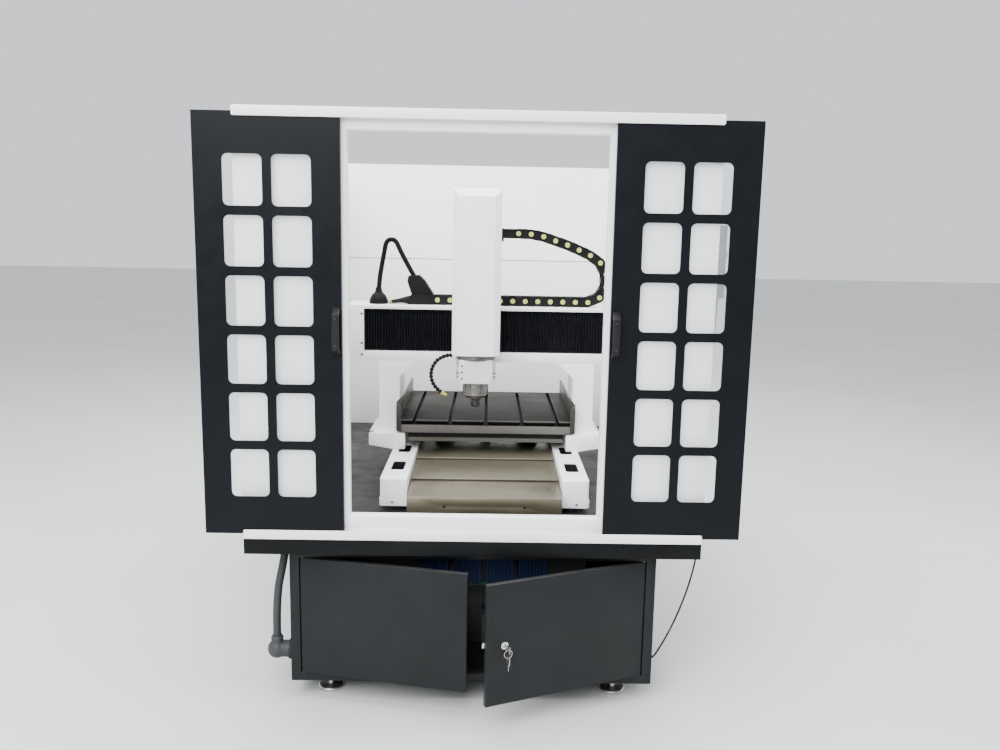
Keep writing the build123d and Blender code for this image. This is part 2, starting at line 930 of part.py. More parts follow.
left_door = sliding_door(-1)
write_piece(left_door, "left_door")
right_door = sliding_door(1)
write_piece(right_door, "right_door")
left_door_pane = door_pane(-1)
write_piece(left_door_pane, "left_door_pane")
right_door_pane = door_pane(1)
write_piece(right_door_pane, "right_door_pane")
left_door_handle = door_handle(-1)
write_piece(left_door_handle, "left_door_handle")
right_door_handle = door_handle(1)
write_piece(right_door_handle, "right_door_handle")

# Bed: a casting with a trough between two wings, pockets in the wings, and rail ledges
bed_front_y = back(bed_setback)
bed_back_y = bed_front_y + bed_length
bed_low_z = tray_top_z + bed_pad_height
bed_top_z = bed_low_z + bed_height
trough_z = bed_low_z + trough_floor
half_bed = bed_width / 2
half_trough = trough_width / 2
rail_seat_z = trough_z + y_rail_ledge
y_screw_z = trough_z + y_screw_height
screw_bore = screw_radius + bore_clearance
wing_middle = (half_trough + half_bed) / 2
with BuildPart() as machine_bed:
    span_box(spread(machine_x, half_bed), (bed_front_y, bed_back_y), (bed_low_z, bed_top_z))
    fillet(machine_bed.edges().filter_by(Axis.Z), bed_corner)
    with BuildSketch(Plane.XY.offset(bed_low_z)):
        with Locations((machine_x, (bed_front_y + bed_back_y) / 2)):
            RectangleRounded(bed_width + 2 * plinth_step, bed_length, bed_corner)
    extrude(amount=plinth_height)
    span_box(
        spread(machine_x, half_trough),
        (bed_front_y, bed_back_y - trough_end_wall),
        (trough_z, bed_top_z),
        mode=Mode.SUBTRACT,
    )
    with BuildSketch(Plane.XY.offset(bed_top_z)):
        for side in (-1, 1):
            for number in range(2):
                pocket_y = bed_front_y + pocket_inset + number * pocket_pitch + pocket_length / 2
                with Locations((machine_x + side * wing_middle, pocket_y)):
                    RectangleRounded(pocket_width, pocket_length, pocket_corner)
    extrude(amount=-pocket_depth, mode=Mode.SUBTRACT)
    for side in (-1, 1):
        span_box(
            spread(machine_x + side * y_rail_spacing / 2, y_rail_ledge_width / 2),
            (bed_front_y, bed_back_y - trough_end_wall),
            (trough_z, rail_seat_z),
        )
    for number in range(2):
        support_y = bed_front_y + number * y_support_pitch
        span_box(
            spread(machine_x, support_width / 2),
            (support_y, support_y + support_length),
            (trough_z, trough_z + support_height),
        )
    rod(
        Plane(origin=(machine_x, bed_front_y, y_screw_z), z_dir=(0, 1, 0)),
        screw_bore,
        y_support_pitch + support_length,
        mode=Mode.SUBTRACT,
    )
write_piece(machine_bed, "machine_bed")

# Pads under the bed
pad_xs = (machine_x - half_bed + bed_pad_inset, machine_x + half_bed - bed_pad_inset)
pad_ys = (bed_front_y + bed_pad_inset, (bed_front_y + bed_back_y) / 2, bed_back_y - bed_pad_inset)
with BuildPart() as bed_pads:
    with BuildSketch(Plane.XY.offset(tray_top_z)):
        with Locations(*[(x, y) for x in pad_xs for y in pad_ys]):
            Circle(bed_pad_radius)
    extrude(amount=bed_pad_height)
write_piece(bed_pads, "bed_pads")

# Beam: a casting with a channel in its front for the rails, the screw and the bellows
column_front_y = back(column_setback)
beam_low_z = bed_top_z + beam_low
beam_top_z = beam_low_z + beam_height
beam_back_y = column_front_y + beam_depth
rail_wall_y = beam_back_y - beam_web
half_beam = beam_inner_length / 2
channel_zs = (beam_low_z + beam_lip_low, beam_top_z - beam_lip_top)
x_screw_z = (channel_zs[0] + channel_zs[1]) / 2
x_rail_face_y = rail_wall_y - linear_rail_height
x_screw_y = x_rail_face_y
with BuildPart() as gantry_beam:
    span_box(spread(machine_x, half_beam), (column_front_y, beam_back_y), (beam_low_z, beam_top_z))
    span_box(
        spread(machine_x, half_beam), (column_front_y, rail_wall_y), channel_zs, mode=Mode.SUBTRACT
    )
write_piece(gantry_beam, "gantry_beam")

# End blocks: castings at both ends of the beam that carry the crossways screw
end_reach = half_beam + end_block_length
with BuildPart() as beam_end_blocks:
    for side in (-1, 1):
        block_box = span_box(
            beside(machine_x, side, half_beam, end_reach),
            (column_front_y, beam_back_y),
            (beam_low_z, beam_top_z),
        )
        outer_face = block_box.faces().sort_by(Axis.X)[0 if side < 0 else -1]
        fillet(outer_face.edges().filter_by(Axis.Z), end_block_round)
        span_box(
            beside(machine_x, side, half_beam, half_beam + end_block_pocket),
            (column_front_y + end_block_wall, column_front_y + end_block_pocket_depth),
            channel_zs,
            mode=Mode.SUBTRACT,
        )
    rod(
        Plane(origin=(machine_x - end_reach, x_screw_y, x_screw_z), z_dir=(1, 0, 0)),
        screw_bore,
        2 * end_reach,
        mode=Mode.SUBTRACT,
    )
write_piece(beam_end_blocks, "beam_end_blocks")


def linear_rail(plane, width, height, length):
    """Add a linear rail with a groove in each flank, standing on a plane and run along its normal."""
    half = width / 2
    groove = linear_rail_groove
    with BuildSketch(plane) as profile:
        with BuildLine():
            Polyline(
                (-half, 0),
                (half, 0),
                (half, height * groove_start),
                (half - groove, height * groove_floor_start),
                (half - groove, height * groove_floor_end),
                (half, height * groove_end),
                (half, height),
                (-half, height),
                (-half, height * groove_end),
                (-half + groove, height * groove_floor_end),
                (-half + groove, height * groove_floor_start),
                (-half, height * groove_start),
                close=True,
            )
        make_face()
    extrude(profile.sketch, amount=length)


# Linear rails of the table and of the head
y_rail_front = bed_front_y + y_rail_start
x_rail_zs = (channel_zs[0] + x_rail_inset, channel_zs[1] - x_rail_inset)
with BuildPart() as linear_rails:
    for side in (-1, 1):
        rail_x = machine_x + side * y_rail_spacing / 2
        linear_rail(
            Plane(origin=(rail_x, y_rail_front, rail_seat_z), x_dir=(-1, 0, 0), z_dir=(0, 1, 0)),
            linear_rail_width,
            linear_rail_height,
            y_rail_length,
        )
    for rail_z in x_rail_zs:
        linear_rail(
            Plane(origin=(machine_x - half_beam, rail_wall_y, rail_z), x_dir=(0, 0, 1), z_dir=(1, 0, 0)),
            linear_rail_width,
            linear_rail_height,
            beam_inner_length,
        )
write_piece(linear_rails, "linear_rails")


def motor(plane, socket_radius):
    """Add a square motor that stands on a plane by its flange, with a socket for the screw."""
    body_size = motor_size - 2 * motor_flange_step
    with BuildSketch(plane) as flange:
        RectangleRounded(motor_size, motor_size, motor_corner)
    extrude(flange.sketch, amount=motor_flange)
    with BuildSketch(plane) as body:
        RectangleRounded(body_size, body_size, motor_corner)
    extrude(body.sketch, amount=motor_length)
    rod(plane, socket_radius, motor_socket, mode=Mode.SUBTRACT)


# Motors of the lengthways and the crossways screw
with BuildPart() as axis_motors:
    motor(Plane(origin=(machine_x, bed_front_y, y_screw_z), z_dir=(0, -1, 0)), screw_bore)
    motor(Plane(origin=(machine_x + end_reach, x_screw_y, x_screw_z), z_dir=(1, 0, 0)), screw_bore)
write_piece(axis_motors, "axis_motors")

# Screws of the table and of the head, each with its end in its motor
y_screw_span = y_support_pitch + support_length - y_screw_tail + shaft_entry
with BuildPart() as y_screw:
    screw_start = (machine_x, bed_front_y - shaft_entry, y_screw_z)
    rod(Plane(origin=screw_start, z_dir=(0, 1, 0)), screw_radius, y_screw_span)
write_piece(y_screw, "y_screw")
with BuildPart() as x_screw:
    rod(
        Plane(origin=(machine_x - end_reach, x_screw_y, x_screw_z), z_dir=(1, 0, 0)),
        screw_radius,
        2 * end_reach + shaft_entry,
    )
write_piece(x_screw, "x_screw")


def cover_section(front_y, width, top_z, lip_low_z, skirt_low_z):
    """Make one section of the way cover: a top, two skirts and a front lip of folded sheet."""
    half = width / 2
    with BuildPart() as section:
        span_box(spread(machine_x, half), (front_y, front_y + cover_length), (skirt_low_z, top_z))
        span_box(
            (machine_x - half + cover_sheet, machine_x + half - cover_sheet),
            (front_y, front_y + cover_length),
            (skirt_low_z, top_z - cover_sheet),
            mode=Mode.SUBTRACT,
        )
        span_box(spread(machine_x, half), (front_y, front_y + cover_sheet), (lip_low_z, top_z))
    return section


# Sections of the telescopic way cover, each one wider and higher than the one below it
cover_front_y = back(cover_front_setback)
cover_fixed_top_z = trough_z + cover_fixed_height
cover_middle_top_z = cover_fixed_top_z + cover_step
cover_top_top_z = cover_middle_top_z + cover_step
cover_widening = 2 * (cover_sheet + cover_side_gap)
skirt_z = trough_z + cover_skirt_gap
cover_fixed = cover_section(
    cover_front_y, cover_fixed_width, cover_fixed_top_z, trough_z - cover_front_drop, trough_z
)
with cover_fixed:
    for side in (-1, 1):
        hole_x = machine_x + side * cover_hole_spacing / 2
        hole_centre = (hole_x, cover_front_y, cover_fixed_top_z - cover_hole_drop)
        rod(Plane(origin=hole_centre, z_dir=(0, 1, 0)), cover_hole_radius, cover_sheet, mode=Mode.SUBTRACT)
write_piece(cover_fixed, "cover_fixed")
cover_middle = cover_section(
    cover_front_y + cover_middle_offset,
    cover_fixed_width + cover_widening,
    cover_middle_top_z,
    cover_fixed_top_z + seat_gap,
    skirt_z,
)
write_piece(cover_middle, "cover_middle")
cover_top = cover_section(
    cover_front_y + cover_top_offset,
    cover_fixed_width + 2 * cover_widening,
    cover_top_top_z,
    cover_middle_top_z + seat_gap,
    skirt_z,
)
write_piece(cover_top, "cover_top")

# Table: a slab with tee slots and a front gutter, on two saddles
table_front_y = back(table_setback)
table_back_y = table_front_y + table_length
table_low_z = bed_top_z + table_gap
table_top_z = table_low_z + table_thickness
half_table = table_width / 2
block_top_z = rail_seat_z + block_height
saddle_ys = (table_front_y + block_front_offset, table_front_y + block_rear_offset + block_length)
gutter_back_y = table_front_y + gutter_lip + gutter_width
slot_base_z = table_top_z - slot_neck_depth - slot_base_depth
with BuildPart() as table:
    span_box(spread(machine_x, half_table), (table_front_y, table_back_y), (table_low_z, table_top_z))
    span_box(
        spread(machine_x, half_table),
        (table_front_y, gutter_back_y),
        (table_top_z - gutter_lip_drop, table_top_z),
        mode=Mode.SUBTRACT,
    )
    span_box(
        spread(machine_x, half_table),
        (table_front_y + gutter_lip, gutter_back_y),
        (table_top_z - gutter_depth, table_top_z),
        mode=Mode.SUBTRACT,
    )
    for index in range(slot_count):
        slot_x = machine_x + (index - (slot_count - 1) / 2) * slot_pitch
        span_box(
            spread(slot_x, slot_neck / 2),
            (gutter_back_y, table_back_y),
            (table_top_z - slot_neck_depth, table_top_z),
            mode=Mode.SUBTRACT,
        )
        span_box(
            spread(slot_x, slot_base / 2),
            (gutter_back_y, table_back_y),
            (slot_base_z, table_top_z - slot_neck_depth),
            mode=Mode.SUBTRACT,
        )
    for side in (-1, 1):
        span_box(
            spread(machine_x + side * y_rail_spacing / 2, saddle_width / 2),
            saddle_ys,
            (block_top_z, table_low_z),
        )
write_piece(table, "table")

# Folded cover behind the table, in folds that step in and out
rear_cover_ys = (saddle_ys[1], bed_back_y - trough_end_wall)
fold_length = (rear_cover_ys[1] - rear_cover_ys[0]) / rear_cover_folds
with BuildPart() as rear_cover:
    for index in range(rear_cover_folds):
        inset = rear_cover_fold_depth if index % 2 else 0
        fold_ys = (rear_cover_ys[0] + index * fold_length, rear_cover_ys[0] + (index + 1) * fold_length)
        outer_half = rear_cover_half_width - inset
        outer_top = trough_z + rear_cover_height - inset
        span_box(spread(machine_x, outer_half), fold_ys, (skirt_z, outer_top))
        span_box(
            (machine_x - outer_half + rear_cover_wall, machine_x + outer_half - rear_cover_wall),
            fold_ys,
            (skirt_z, outer_top - rear_cover_wall),
            mode=Mode.SUBTRACT,
        )
write_piece(rear_cover, "rear_cover")

# Splash guards: folded sheets at both sides of the table
guard_zs = (table_low_z + guard_lift, table_top_z + guard_height)
with BuildPart() as table_guards:
    for side in (-1, 1):
        web_xs = beside(machine_x, side, half_table, half_table + sheet)
        span_box(web_xs, (table_front_y, table_back_y), guard_zs)
        span_box(
            beside(machine_x, side, half_table, half_table + guard_flange),
            (table_front_y - sheet, table_back_y),
            (guard_zs[1] - sheet, guard_zs[1]),
        )
        span_box(
            beside(machine_x, side, half_table + guard_flange - guard_end_width, half_table + guard_flange),
            (table_front_y - sheet, table_front_y),
            guard_zs,
        )
write_piece(table_guards, "table_guards")

# Blocks that carry the table on its rails, and the bracket of its screw nut
rail_side_room = linear_rail_width / 2 + block_gap
nut_half = screw_nut_width / 2
nut_bracket_y = table_front_y + nut_bracket_offset
with BuildPart() as y_carriages:
    for side in (-1, 1):
        for setback in (block_front_offset, block_rear_offset):
            block_ys = (table_front_y + setback, table_front_y + setback + block_length)
            rail_x = machine_x + side * y_rail_spacing / 2
            span_box(
                spread(rail_x, block_width / 2),
                block_ys,
                (rail_seat_z + block_lift, block_top_z),
            )
            span_box(
                spread(rail_x, rail_side_room),
                block_ys,
                (rail_seat_z, rail_seat_z + linear_rail_height + block_gap),
                mode=Mode.SUBTRACT,
            )
    span_box(
        spread(machine_x, nut_half),
        (nut_bracket_y, nut_bracket_y + nut_bracket_length),
        (trough_z + block_lift, table_low_z),
    )
    rod(
        Plane(origin=(machine_x, nut_bracket_y, y_screw_z), z_dir=(0, 1, 0)),
        screw_bore,
        nut_bracket_length,
        mode=Mode.SUBTRACT,
    )
write_piece(y_carriages, "y_carriages")


def column(side):
    """Make one column: a spread foot, a leg with a gusset, and a head with a bracket."""
    inner = column_gap / 2
    outer = inner + column_width
    foot_inner = inner - column_foot_inner
    foot_outer = foot_inner + column_foot_width
    foot_top_z = bed_top_z + column_foot_height
    seam_z = bed_top_z + column_seam
    head_inner = inner - column_head_inset
    with BuildPart() as leg:
        with BuildSketch(front_plane(column_front_y)):
            with BuildLine():
                Polyline(
                    (machine_x + side * inner, foot_top_z),
                    (machine_x + side * inner, seam_z - column_head_inset),
                    (machine_x + side * head_inner, seam_z),
                    (machine_x + side * head_inner, beam_low_z - column_bracket),
                    (machine_x + side * (head_inner - column_bracket), beam_low_z),
                    (machine_x + side * outer, beam_low_z),
                    (machine_x + side * outer, foot_top_z + column_gusset),
                    (machine_x + side * (outer + column_gusset), foot_top_z),
                    close=True,
                )
            make_face()
        extrude(amount=-column_depth)
        with BuildSketch(front_plane(column_front_y - column_foot_forward)):
            with BuildLine():
                Polyline(
                    (machine_x + side * foot_inner, bed_top_z),
                    (machine_x + side * half_bed, bed_top_z),
                    (machine_x + side * foot_outer, bed_top_z + column_foot_slope),
                    (machine_x + side * foot_outer, foot_top_z),
                    (machine_x + side * foot_inner, foot_top_z),
                    close=True,
                )
            make_face()
        extrude(amount=-column_foot_length)
    return leg


column_left = column(-1)
write_piece(column_left, "column_left")
column_right = column(1)
write_piece(column_right, "column_right")

# Head: positions that its pieces share
head_x = machine_x + head_offset
half_head = head_width / 2
head_front_y = back(head_setback)
head_back_y = head_front_y + head_depth
head_low_z = bed_top_z + head_low
plate_front_y = head_back_y - head_plate_thickness
plate_top_z = head_low_z + head_plate_height
block_front_y = x_rail_face_y - x_block_front
channel_room_zs = (channel_zs[0] + head_channel_gap, channel_zs[1] - head_channel_gap)
half_neck = head_neck_width / 2
z_screw_y = plate_front_y - z_screw_standoff
z_support_ys = (plate_front_y - z_support_reach, plate_front_y)
chain_end_z = beam_top_z + chain_height / 2 + chain_pitch * sum(sin(radians(a)) for a in chain_bend_angles)
chain_arm_z = chain_end_z - chain_height / 2 - chain_foot_height
chain_front_y = back(chain_setback)

# Head plate: the upright front plate, its neck through the beam's channel and the rear plate
with BuildPart() as head_plate:
    span_box(spread(head_x, half_head - sheet), (plate_front_y, head_back_y), (head_low_z, plate_top_z))
    span_box(
        spread(head_x, half_neck), (head_back_y, block_front_y - head_rear_plate), channel_room_zs
    )
    span_box(
        spread(head_x, head_rear_plate_width / 2),
        (block_front_y - head_rear_plate, block_front_y),
        channel_room_zs,
    )
    for support_z in (head_low_z, plate_top_z - z_support_thickness):
        span_box(
            spread(head_x, z_support_half_width),
            z_support_ys,
            (support_z, support_z + z_support_thickness),
        )
    rod(
        Plane(origin=(head_x, z_screw_y, head_low_z), z_dir=(0, 0, 1)),
        z_screw_radius + bore_clearance,
        head_plate_height,
        mode=Mode.SUBTRACT,
    )
    span_box(
        (head_x + chain_arm_start, head_x + chain_arm_end),
        (head_back_y, chain_front_y + chain_width),
        (chain_arm_z - chain_arm_thickness, chain_arm_z),
    )
write_piece(head_plate, "head_plate")

# Head cover: a folded box with chamfered edges, open below and behind
with BuildPart() as head_cover:
    with BuildSketch(Plane.XY.offset(head_low_z)):
        with BuildLine():
            Polyline(
                (head_x - half_head, head_back_y),
                (head_x - half_head, head_front_y + head_chamfer),
                (head_x - half_head + head_chamfer, head_front_y),
                (head_x + half_head - head_chamfer, head_front_y),
                (head_x + half_head, head_front_y + head_chamfer),
                (head_x + half_head, head_back_y),
                close=True,
            )
        make_face()
    extrude(amount=head_height)
    top_front_edge = head_cover.faces().sort_by(Axis.Z)[-1].edges().sort_by(Axis.Y)[0]
    chamfer(top_front_edge, head_bevel)
    open_faces = [head_cover.faces().sort_by(Axis.Y)[-1], head_cover.faces().sort_by(Axis.Z)[0]]
    offset(amount=-sheet, openings=open_faces)
write_piece(head_cover, "head_cover")

# Blocks that carry the head on its rails, and its screw nut
with BuildPart() as x_carriages:
    for rail_z in x_rail_zs:
        for side in (-1, 1):
            block_x = head_x + side * x_block_spacing / 2
            half_length = block_length / 2
            span_box(
                spread(block_x, half_length),
                (block_front_y, rail_wall_y - block_lift),
                spread(rail_z, block_width / 2),
            )
            span_box(
                spread(block_x, half_length),
                (x_rail_face_y - block_gap, rail_wall_y),
                spread(rail_z, rail_side_room),
                mode=Mode.SUBTRACT,
            )
    span_box(
        spread(head_x, nut_half),
        (block_front_y, rail_wall_y - block_lift),
        spread(x_screw_z, x_screw_nut_height / 2),
    )
    rod(
        Plane(origin=(head_x - nut_half, x_screw_y, x_screw_z), z_dir=(1, 0, 0)),
        screw_bore,
        screw_nut_width,
        mode=Mode.SUBTRACT,
    )
write_piece(x_carriages, "x_carriages")

# Upright rails, screw and motor of the spindle carriage
z_rail_low_z = head_low_z + z_rail_rise
with BuildPart() as z_rails:
    for side in (-1, 1):
        linear_rail(
            Plane(
                origin=(head_x + side * z_rail_spacing / 2, plate_front_y, z_rail_low_z),
                x_dir=(-1, 0, 0),
                z_dir=(0, 0, 1),
            ),
            z_rail_width,
            z_rail_height,
            z_rail_length,
        )
write_piece(z_rails, "z_rails")
with BuildPart() as z_screw:
    rod(
        Plane(origin=(head_x, z_screw_y, head_low_z), z_dir=(0, 0, 1)),
        z_screw_radius,
        head_plate_height + shaft_entry,
    )
write_piece(z_screw, "z_screw")
z_motor_plane = Plane(origin=(head_x, z_screw_y, plate_top_z), z_dir=(0, 0, 1))
with BuildPart() as z_motor:
    with BuildSketch(z_motor_plane):
        RectangleRounded(z_motor_size, z_motor_size, motor_corner)
    extrude(amount=z_motor_length)
    rod(z_motor_plane, z_screw_radius + bore_clearance, motor_socket, mode=Mode.SUBTRACT)
write_piece(z_motor, "z_motor")

# Bellows: folded sheets that close the channel at both sides of the head
bellows_y = column_front_y + bellows_setback + sheet
bellows_zs = (channel_zs[0] + bellows_gap, channel_zs[1] - bellows_gap)


def bellows(low_x, high_x):
    """Make a zigzag sheet between two X values."""
    count = 2 * round((high_x - low_x) / (2 * bellows_fold))
    step = (high_x - low_x) / count
    ridge = [(low_x + i * step, bellows_y + (bellows_depth if i % 2 else 0)) for i in range(count + 1)]
    rear = [(x, y + bellows_sheet) for x, y in reversed(ridge)]
    with BuildPart() as sleeve:
        with BuildSketch(Plane.XY.offset(bellows_zs[0])):
            with BuildLine():
                Polyline(*ridge, *rear, close=True)
            make_face()
        extrude(amount=bellows_zs[1] - bellows_zs[0])
    return sleeve


bellows_left = bellows(machine_x - half_beam - bellows_tuck, head_x - half_neck - seat_gap)
write_piece(bellows_left, "bellows_left")
bellows_right = bellows(head_x + half_neck + seat_gap, machine_x + half_beam + bellows_tuck)
write_piece(bellows_right, "bellows_right")

# Spindle carriage: slide plate, rail blocks, screw nut and the split clamp
spindle_y = back(spindle_setback)
clamp_low_z = bed_top_z + clamp_rise
clamp_top_z = clamp_low_z + clamp_height
slide_front_y = spindle_y + spindle_radius
slide_back_y = slide_front_y + slide_plate_thickness
with BuildPart() as spindle_carriage:
    clamp_box = span_box(
        spread(head_x, clamp_width / 2),
        (spindle_y - clamp_front, slide_front_y),
        (clamp_low_z, clamp_top_z),
    )
    front_corners = clamp_box.edges().filter_by(Axis.Z).group_by(Axis.Y)[0]
    fillet(front_corners, clamp_round)
    span_box(
        spread(head_x, slide_plate_width / 2),
        (slide_front_y, slide_back_y),
        (clamp_low_z, clamp_low_z + slide_plate_height),
    )
    rod(
        Plane(origin=(head_x, spindle_y, clamp_low_z), z_dir=(0, 0, 1)),
        spindle_radius + bore_clearance,
        clamp_height,
        mode=Mode.SUBTRACT,
    )
    span_box(
        (head_x - clamp_width / 2, head_x),
        spread(spindle_y, clamp_split / 2),
        (clamp_low_z, clamp_top_z),
        mode=Mode.SUBTRACT,
    )
    for side in (-1, 1):
        rail_x = head_x + side * z_rail_spacing / 2
        block_zs = (clamp_low_z + slide_block_rise, clamp_low_z + slide_block_rise + slide_block_height)
        span_box(
            spread(rail_x, slide_block_width / 2),
            (slide_back_y, slide_back_y + slide_block_reach),
            block_zs,
        )
        span_box(
            (rail_x - z_rail_width / 2 - block_gap, rail_x + z_rail_width / 2 + block_gap),
            (plate_front_y - z_rail_height - block_gap, slide_back_y + slide_block_reach),
            block_zs,
            mode=Mode.SUBTRACT,
        )
    nut_zs = (clamp_low_z + slide_nut_rise, clamp_low_z + slide_nut_rise + slide_nut_height)
    span_box(
        spread(head_x, slide_nut_half_width),
        (slide_back_y, slide_back_y + slide_nut_reach),
        nut_zs,
    )
    rod(
        Plane(origin=(head_x, z_screw_y, nut_zs[0]), z_dir=(0, 0, 1)),
        z_screw_radius + bore_clearance,
        slide_nut_height,
        mode=Mode.SUBTRACT,
    )
write_piece(spindle_carriage, "spindle_carriage")

# Spindle body: nose, clamped length, disc and housing, turned about one axis and bored for the shaft
disc_low_z = clamp_top_z + spindle_disc_gap
disc_top_z = disc_low_z + spindle_disc_height
housing_top_z = disc_top_z + spindle_housing_height
nose_low_z = clamp_low_z - spindle_nose_drop
cone_low_z = nose_low_z - spindle_cone_drop
spindle_axis = Axis((head_x, spindle_y, 0), (0, 0, 1))
spindle_profile_plane = Plane(origin=(head_x, spindle_y, 0), x_dir=(1, 0, 0), z_dir=(0, -1, 0))
with BuildPart() as spindle_body:
    with BuildSketch(spindle_profile_plane):
        with BuildLine():
            Polyline(
                (0, cone_low_z),
                (spindle_cone_radius, cone_low_z),
                (spindle_radius, nose_low_z),
                (spindle_radius, disc_low_z),
                (spindle_disc_radius, disc_low_z),
                (spindle_disc_radius, disc_top_z),
                (spindle_housing_radius, disc_top_z),
                (spindle_housing_radius, housing_top_z),
                (0, housing_top_z),
                close=True,
            )
        make_face()
    revolve(axis=spindle_axis)
    span_box(
        spread(head_x, spindle_disc_radius),
        (spindle_y + spindle_disc_flat, spindle_y + spindle_disc_radius),
        (disc_low_z, disc_top_z),
        mode=Mode.SUBTRACT,
    )
    rod(
        Plane(origin=(head_x, spindle_y, cone_low_z), z_dir=(0, 0, 1)),
        shaft_radius + bore_clearance,
        shaft_length + seat_gap,
        mode=Mode.SUBTRACT,
    )
write_piece(spindle_body, "spindle_body")

# Spindle shaft with the neck and socket for the collet
shaft_low_z = cone_low_z - nut_gap
with BuildPart() as spindle_shaft:
    shaft_end = (head_x, spindle_y, shaft_low_z)
    rod(Plane(origin=shaft_end, z_dir=(0, 0, 1)), shaft_radius, shaft_length)
    rod(Plane(origin=shaft_end, z_dir=(0, 0, -1)), collet_neck_radius, collet_neck_length)
    rod(
        Plane(origin=(head_x, spindle_y, shaft_low_z - collet_neck_length), z_dir=(0, 0, 1)),
        tool_hole_radius,
        tool_hole_depth,
        mode=Mode.SUBTRACT,
    )
write_piece(spindle_shaft, "spindle_shaft")

# Collet nut with slots for its spanner
nut_height = collet_neck_length + nut_drop
nut_plane = Plane(origin=(head_x, spindle_y, shaft_low_z - nut_height), z_dir=(0, 0, 1))
with BuildPart() as collet_nut:
    rod(nut_plane, nut_radius, nut_height)
    nut_rim = collet_nut.edges().filter_by(GeomType.CIRCLE).sort_by(Axis.Z)[0]
    chamfer(nut_rim, nut_slot_depth)
    rod(nut_plane, collet_neck_radius, nut_height, mode=Mode.SUBTRACT)
    with BuildSketch(nut_plane):
        with PolarLocations(nut_radius, nut_slot_count):
            Rectangle(2 * nut_slot_depth, nut_slot)
    extrude(amount=nut_slot_length, mode=Mode.SUBTRACT)
write_piece(collet_nut, "collet_nut")

# Coolant hose: segments on a curved core, from the cover's corner to a nozzle beside the spindle
coolant_y = back(coolant_setback)
hose_side_x = head_x - half_head
coolant_start = (hose_side_x - coolant_start_gap, head_low_z - coolant_mount_height)
coolant_bend = (hose_side_x - coolant_bend_reach, head_low_z - coolant_bend_drop)
coolant_end = (hose_side_x - coolant_end_reach, head_low_z - coolant_end_drop)
with BuildLine(front_plane(coolant_y)) as coolant_path:
    ThreePointArc(coolant_start, coolant_bend, coolant_end)
coolant_arc = coolant_path.edges()[0]
with BuildPart() as coolant_hose:
    span_box(
        (coolant_start[0] - coolant_mount_width / 2, coolant_start[0] + coolant_mount_width / 2),
        spread(coolant_y, coolant_mount_width / 2),
        (coolant_start[1], head_low_z),
    )
    with BuildSketch(Plane(origin=coolant_arc @ 0, z_dir=coolant_arc % 0)):
        Circle(coolant_neck_radius)
    sweep(path=coolant_arc)
    shares = [index / (coolant_segment_count - 1) for index in range(coolant_segment_count)]
    for share in shares:
        with Locations(Plane(origin=coolant_arc @ share, z_dir=coolant_arc % share).location):
            Cylinder(coolant_segment_radius, coolant_segment_length)
    nozzle_plane = Plane(origin=coolant_arc @ 1, z_dir=coolant_arc % 1)
    with Locations(nozzle_plane.offset(coolant_nozzle_length / 2).location):
        Cone(coolant_segment_radius, coolant_nozzle_tip_radius, coolant_nozzle_length)
write_piece(coolant_hose, "coolant_hose")

# Drag chain: links along the beam's top that turn back up to the head
chain_start_x = machine_x - half_beam + chain_inset
chain_joints = [(chain_start_x, beam_top_z + chain_height / 2)]
chain_angles = [0] * chain_straight_links + list(chain_bend_angles)
for angle in chain_angles:
    last_x, last_z = chain_joints[-1]
    next_x = last_x + chain_pitch * cos(radians(angle))
    next_z = last_z + chain_pitch * sin(radians(angle))
    chain_joints.append((next_x, next_z))
chain_last_x, chain_last_z = chain_joints[-1]
chain_mount_x = head_x + half_head + chain_end_plate / 2
with BuildPart() as drag_chain:
    with BuildSketch(front_plane(chain_front_y)):
        for (x, z), angle in zip(chain_joints, chain_angles):
            middle = (x + chain_pitch / 2 * cos(radians(angle)), z + chain_pitch / 2 * sin(radians(angle)))
            with Locations(Location(middle, angle)):
                SlotCenterToCenter(chain_pitch, chain_height)
    extrude(amount=-chain_width)
    span_box(
        (chain_mount_x, chain_last_x),
        (chain_front_y, chain_front_y + chain_width),
        spread(chain_last_z, chain_height / 2),
    )
    span_box(
        (chain_mount_x, chain_mount_x + chain_end_plate),
        (chain_front_y, chain_front_y + chain_width),
        (chain_arm_z, chain_last_z + chain_height / 2),
    )
    with BuildSketch(front_plane(chain_front_y - chain_pin_proud)):
        with Locations(*chain_joints):
            Circle(chain_pin_radius)
    extrude(amount=-chain_width - 2 * chain_pin_proud)
write_piece(drag_chain, "drag_chain")

# Gland dome at the beam's top, where the conduit starts
conduit_y = back(conduit_setback)
dome_x = machine_x - half_beam + dome_inset
with BuildPart() as cable_dome:
    with BuildSketch(Plane(origin=(dome_x, conduit_y, beam_top_z), x_dir=(1, 0, 0), z_dir=(0, -1, 0))):
        with BuildLine():
            Line((0, 0), (dome_radius, 0))
            RadiusArc((dome_radius, 0), (dome_top_radius, dome_height), -dome_height)
            Line((dome_top_radius, dome_height), (0, dome_height))
            Line((0, dome_height), (0, 0))
        make_face()
    revolve(axis=Axis((dome_x, conduit_y, 0), (0, 0, 1)))
write_piece(cable_dome, "cable_dome")

# Hood over the chain's fixed end, tilted towards the conduit
chain_top_z = beam_top_z + chain_height
hood_points = [(-16.5, 72), (26.5, 76), (47.5, 55), (83.5, 0), (-3.5, 0), (-20.5, 51)]
with BuildPart() as cable_hood:
    with BuildSketch(front_plane(conduit_y - hood_depth / 2)):
        with BuildLine():
            Polyline(*[(chain_start_x + x, chain_top_z + rise) for x, rise in hood_points], close=True)
        make_face()
    extrude(amount=-hood_depth)
    fillet(cable_hood.edges().filter_by(Axis.Y).group_by(Axis.Z)[-1], hood_round)
write_piece(cable_hood, "cable_hood")

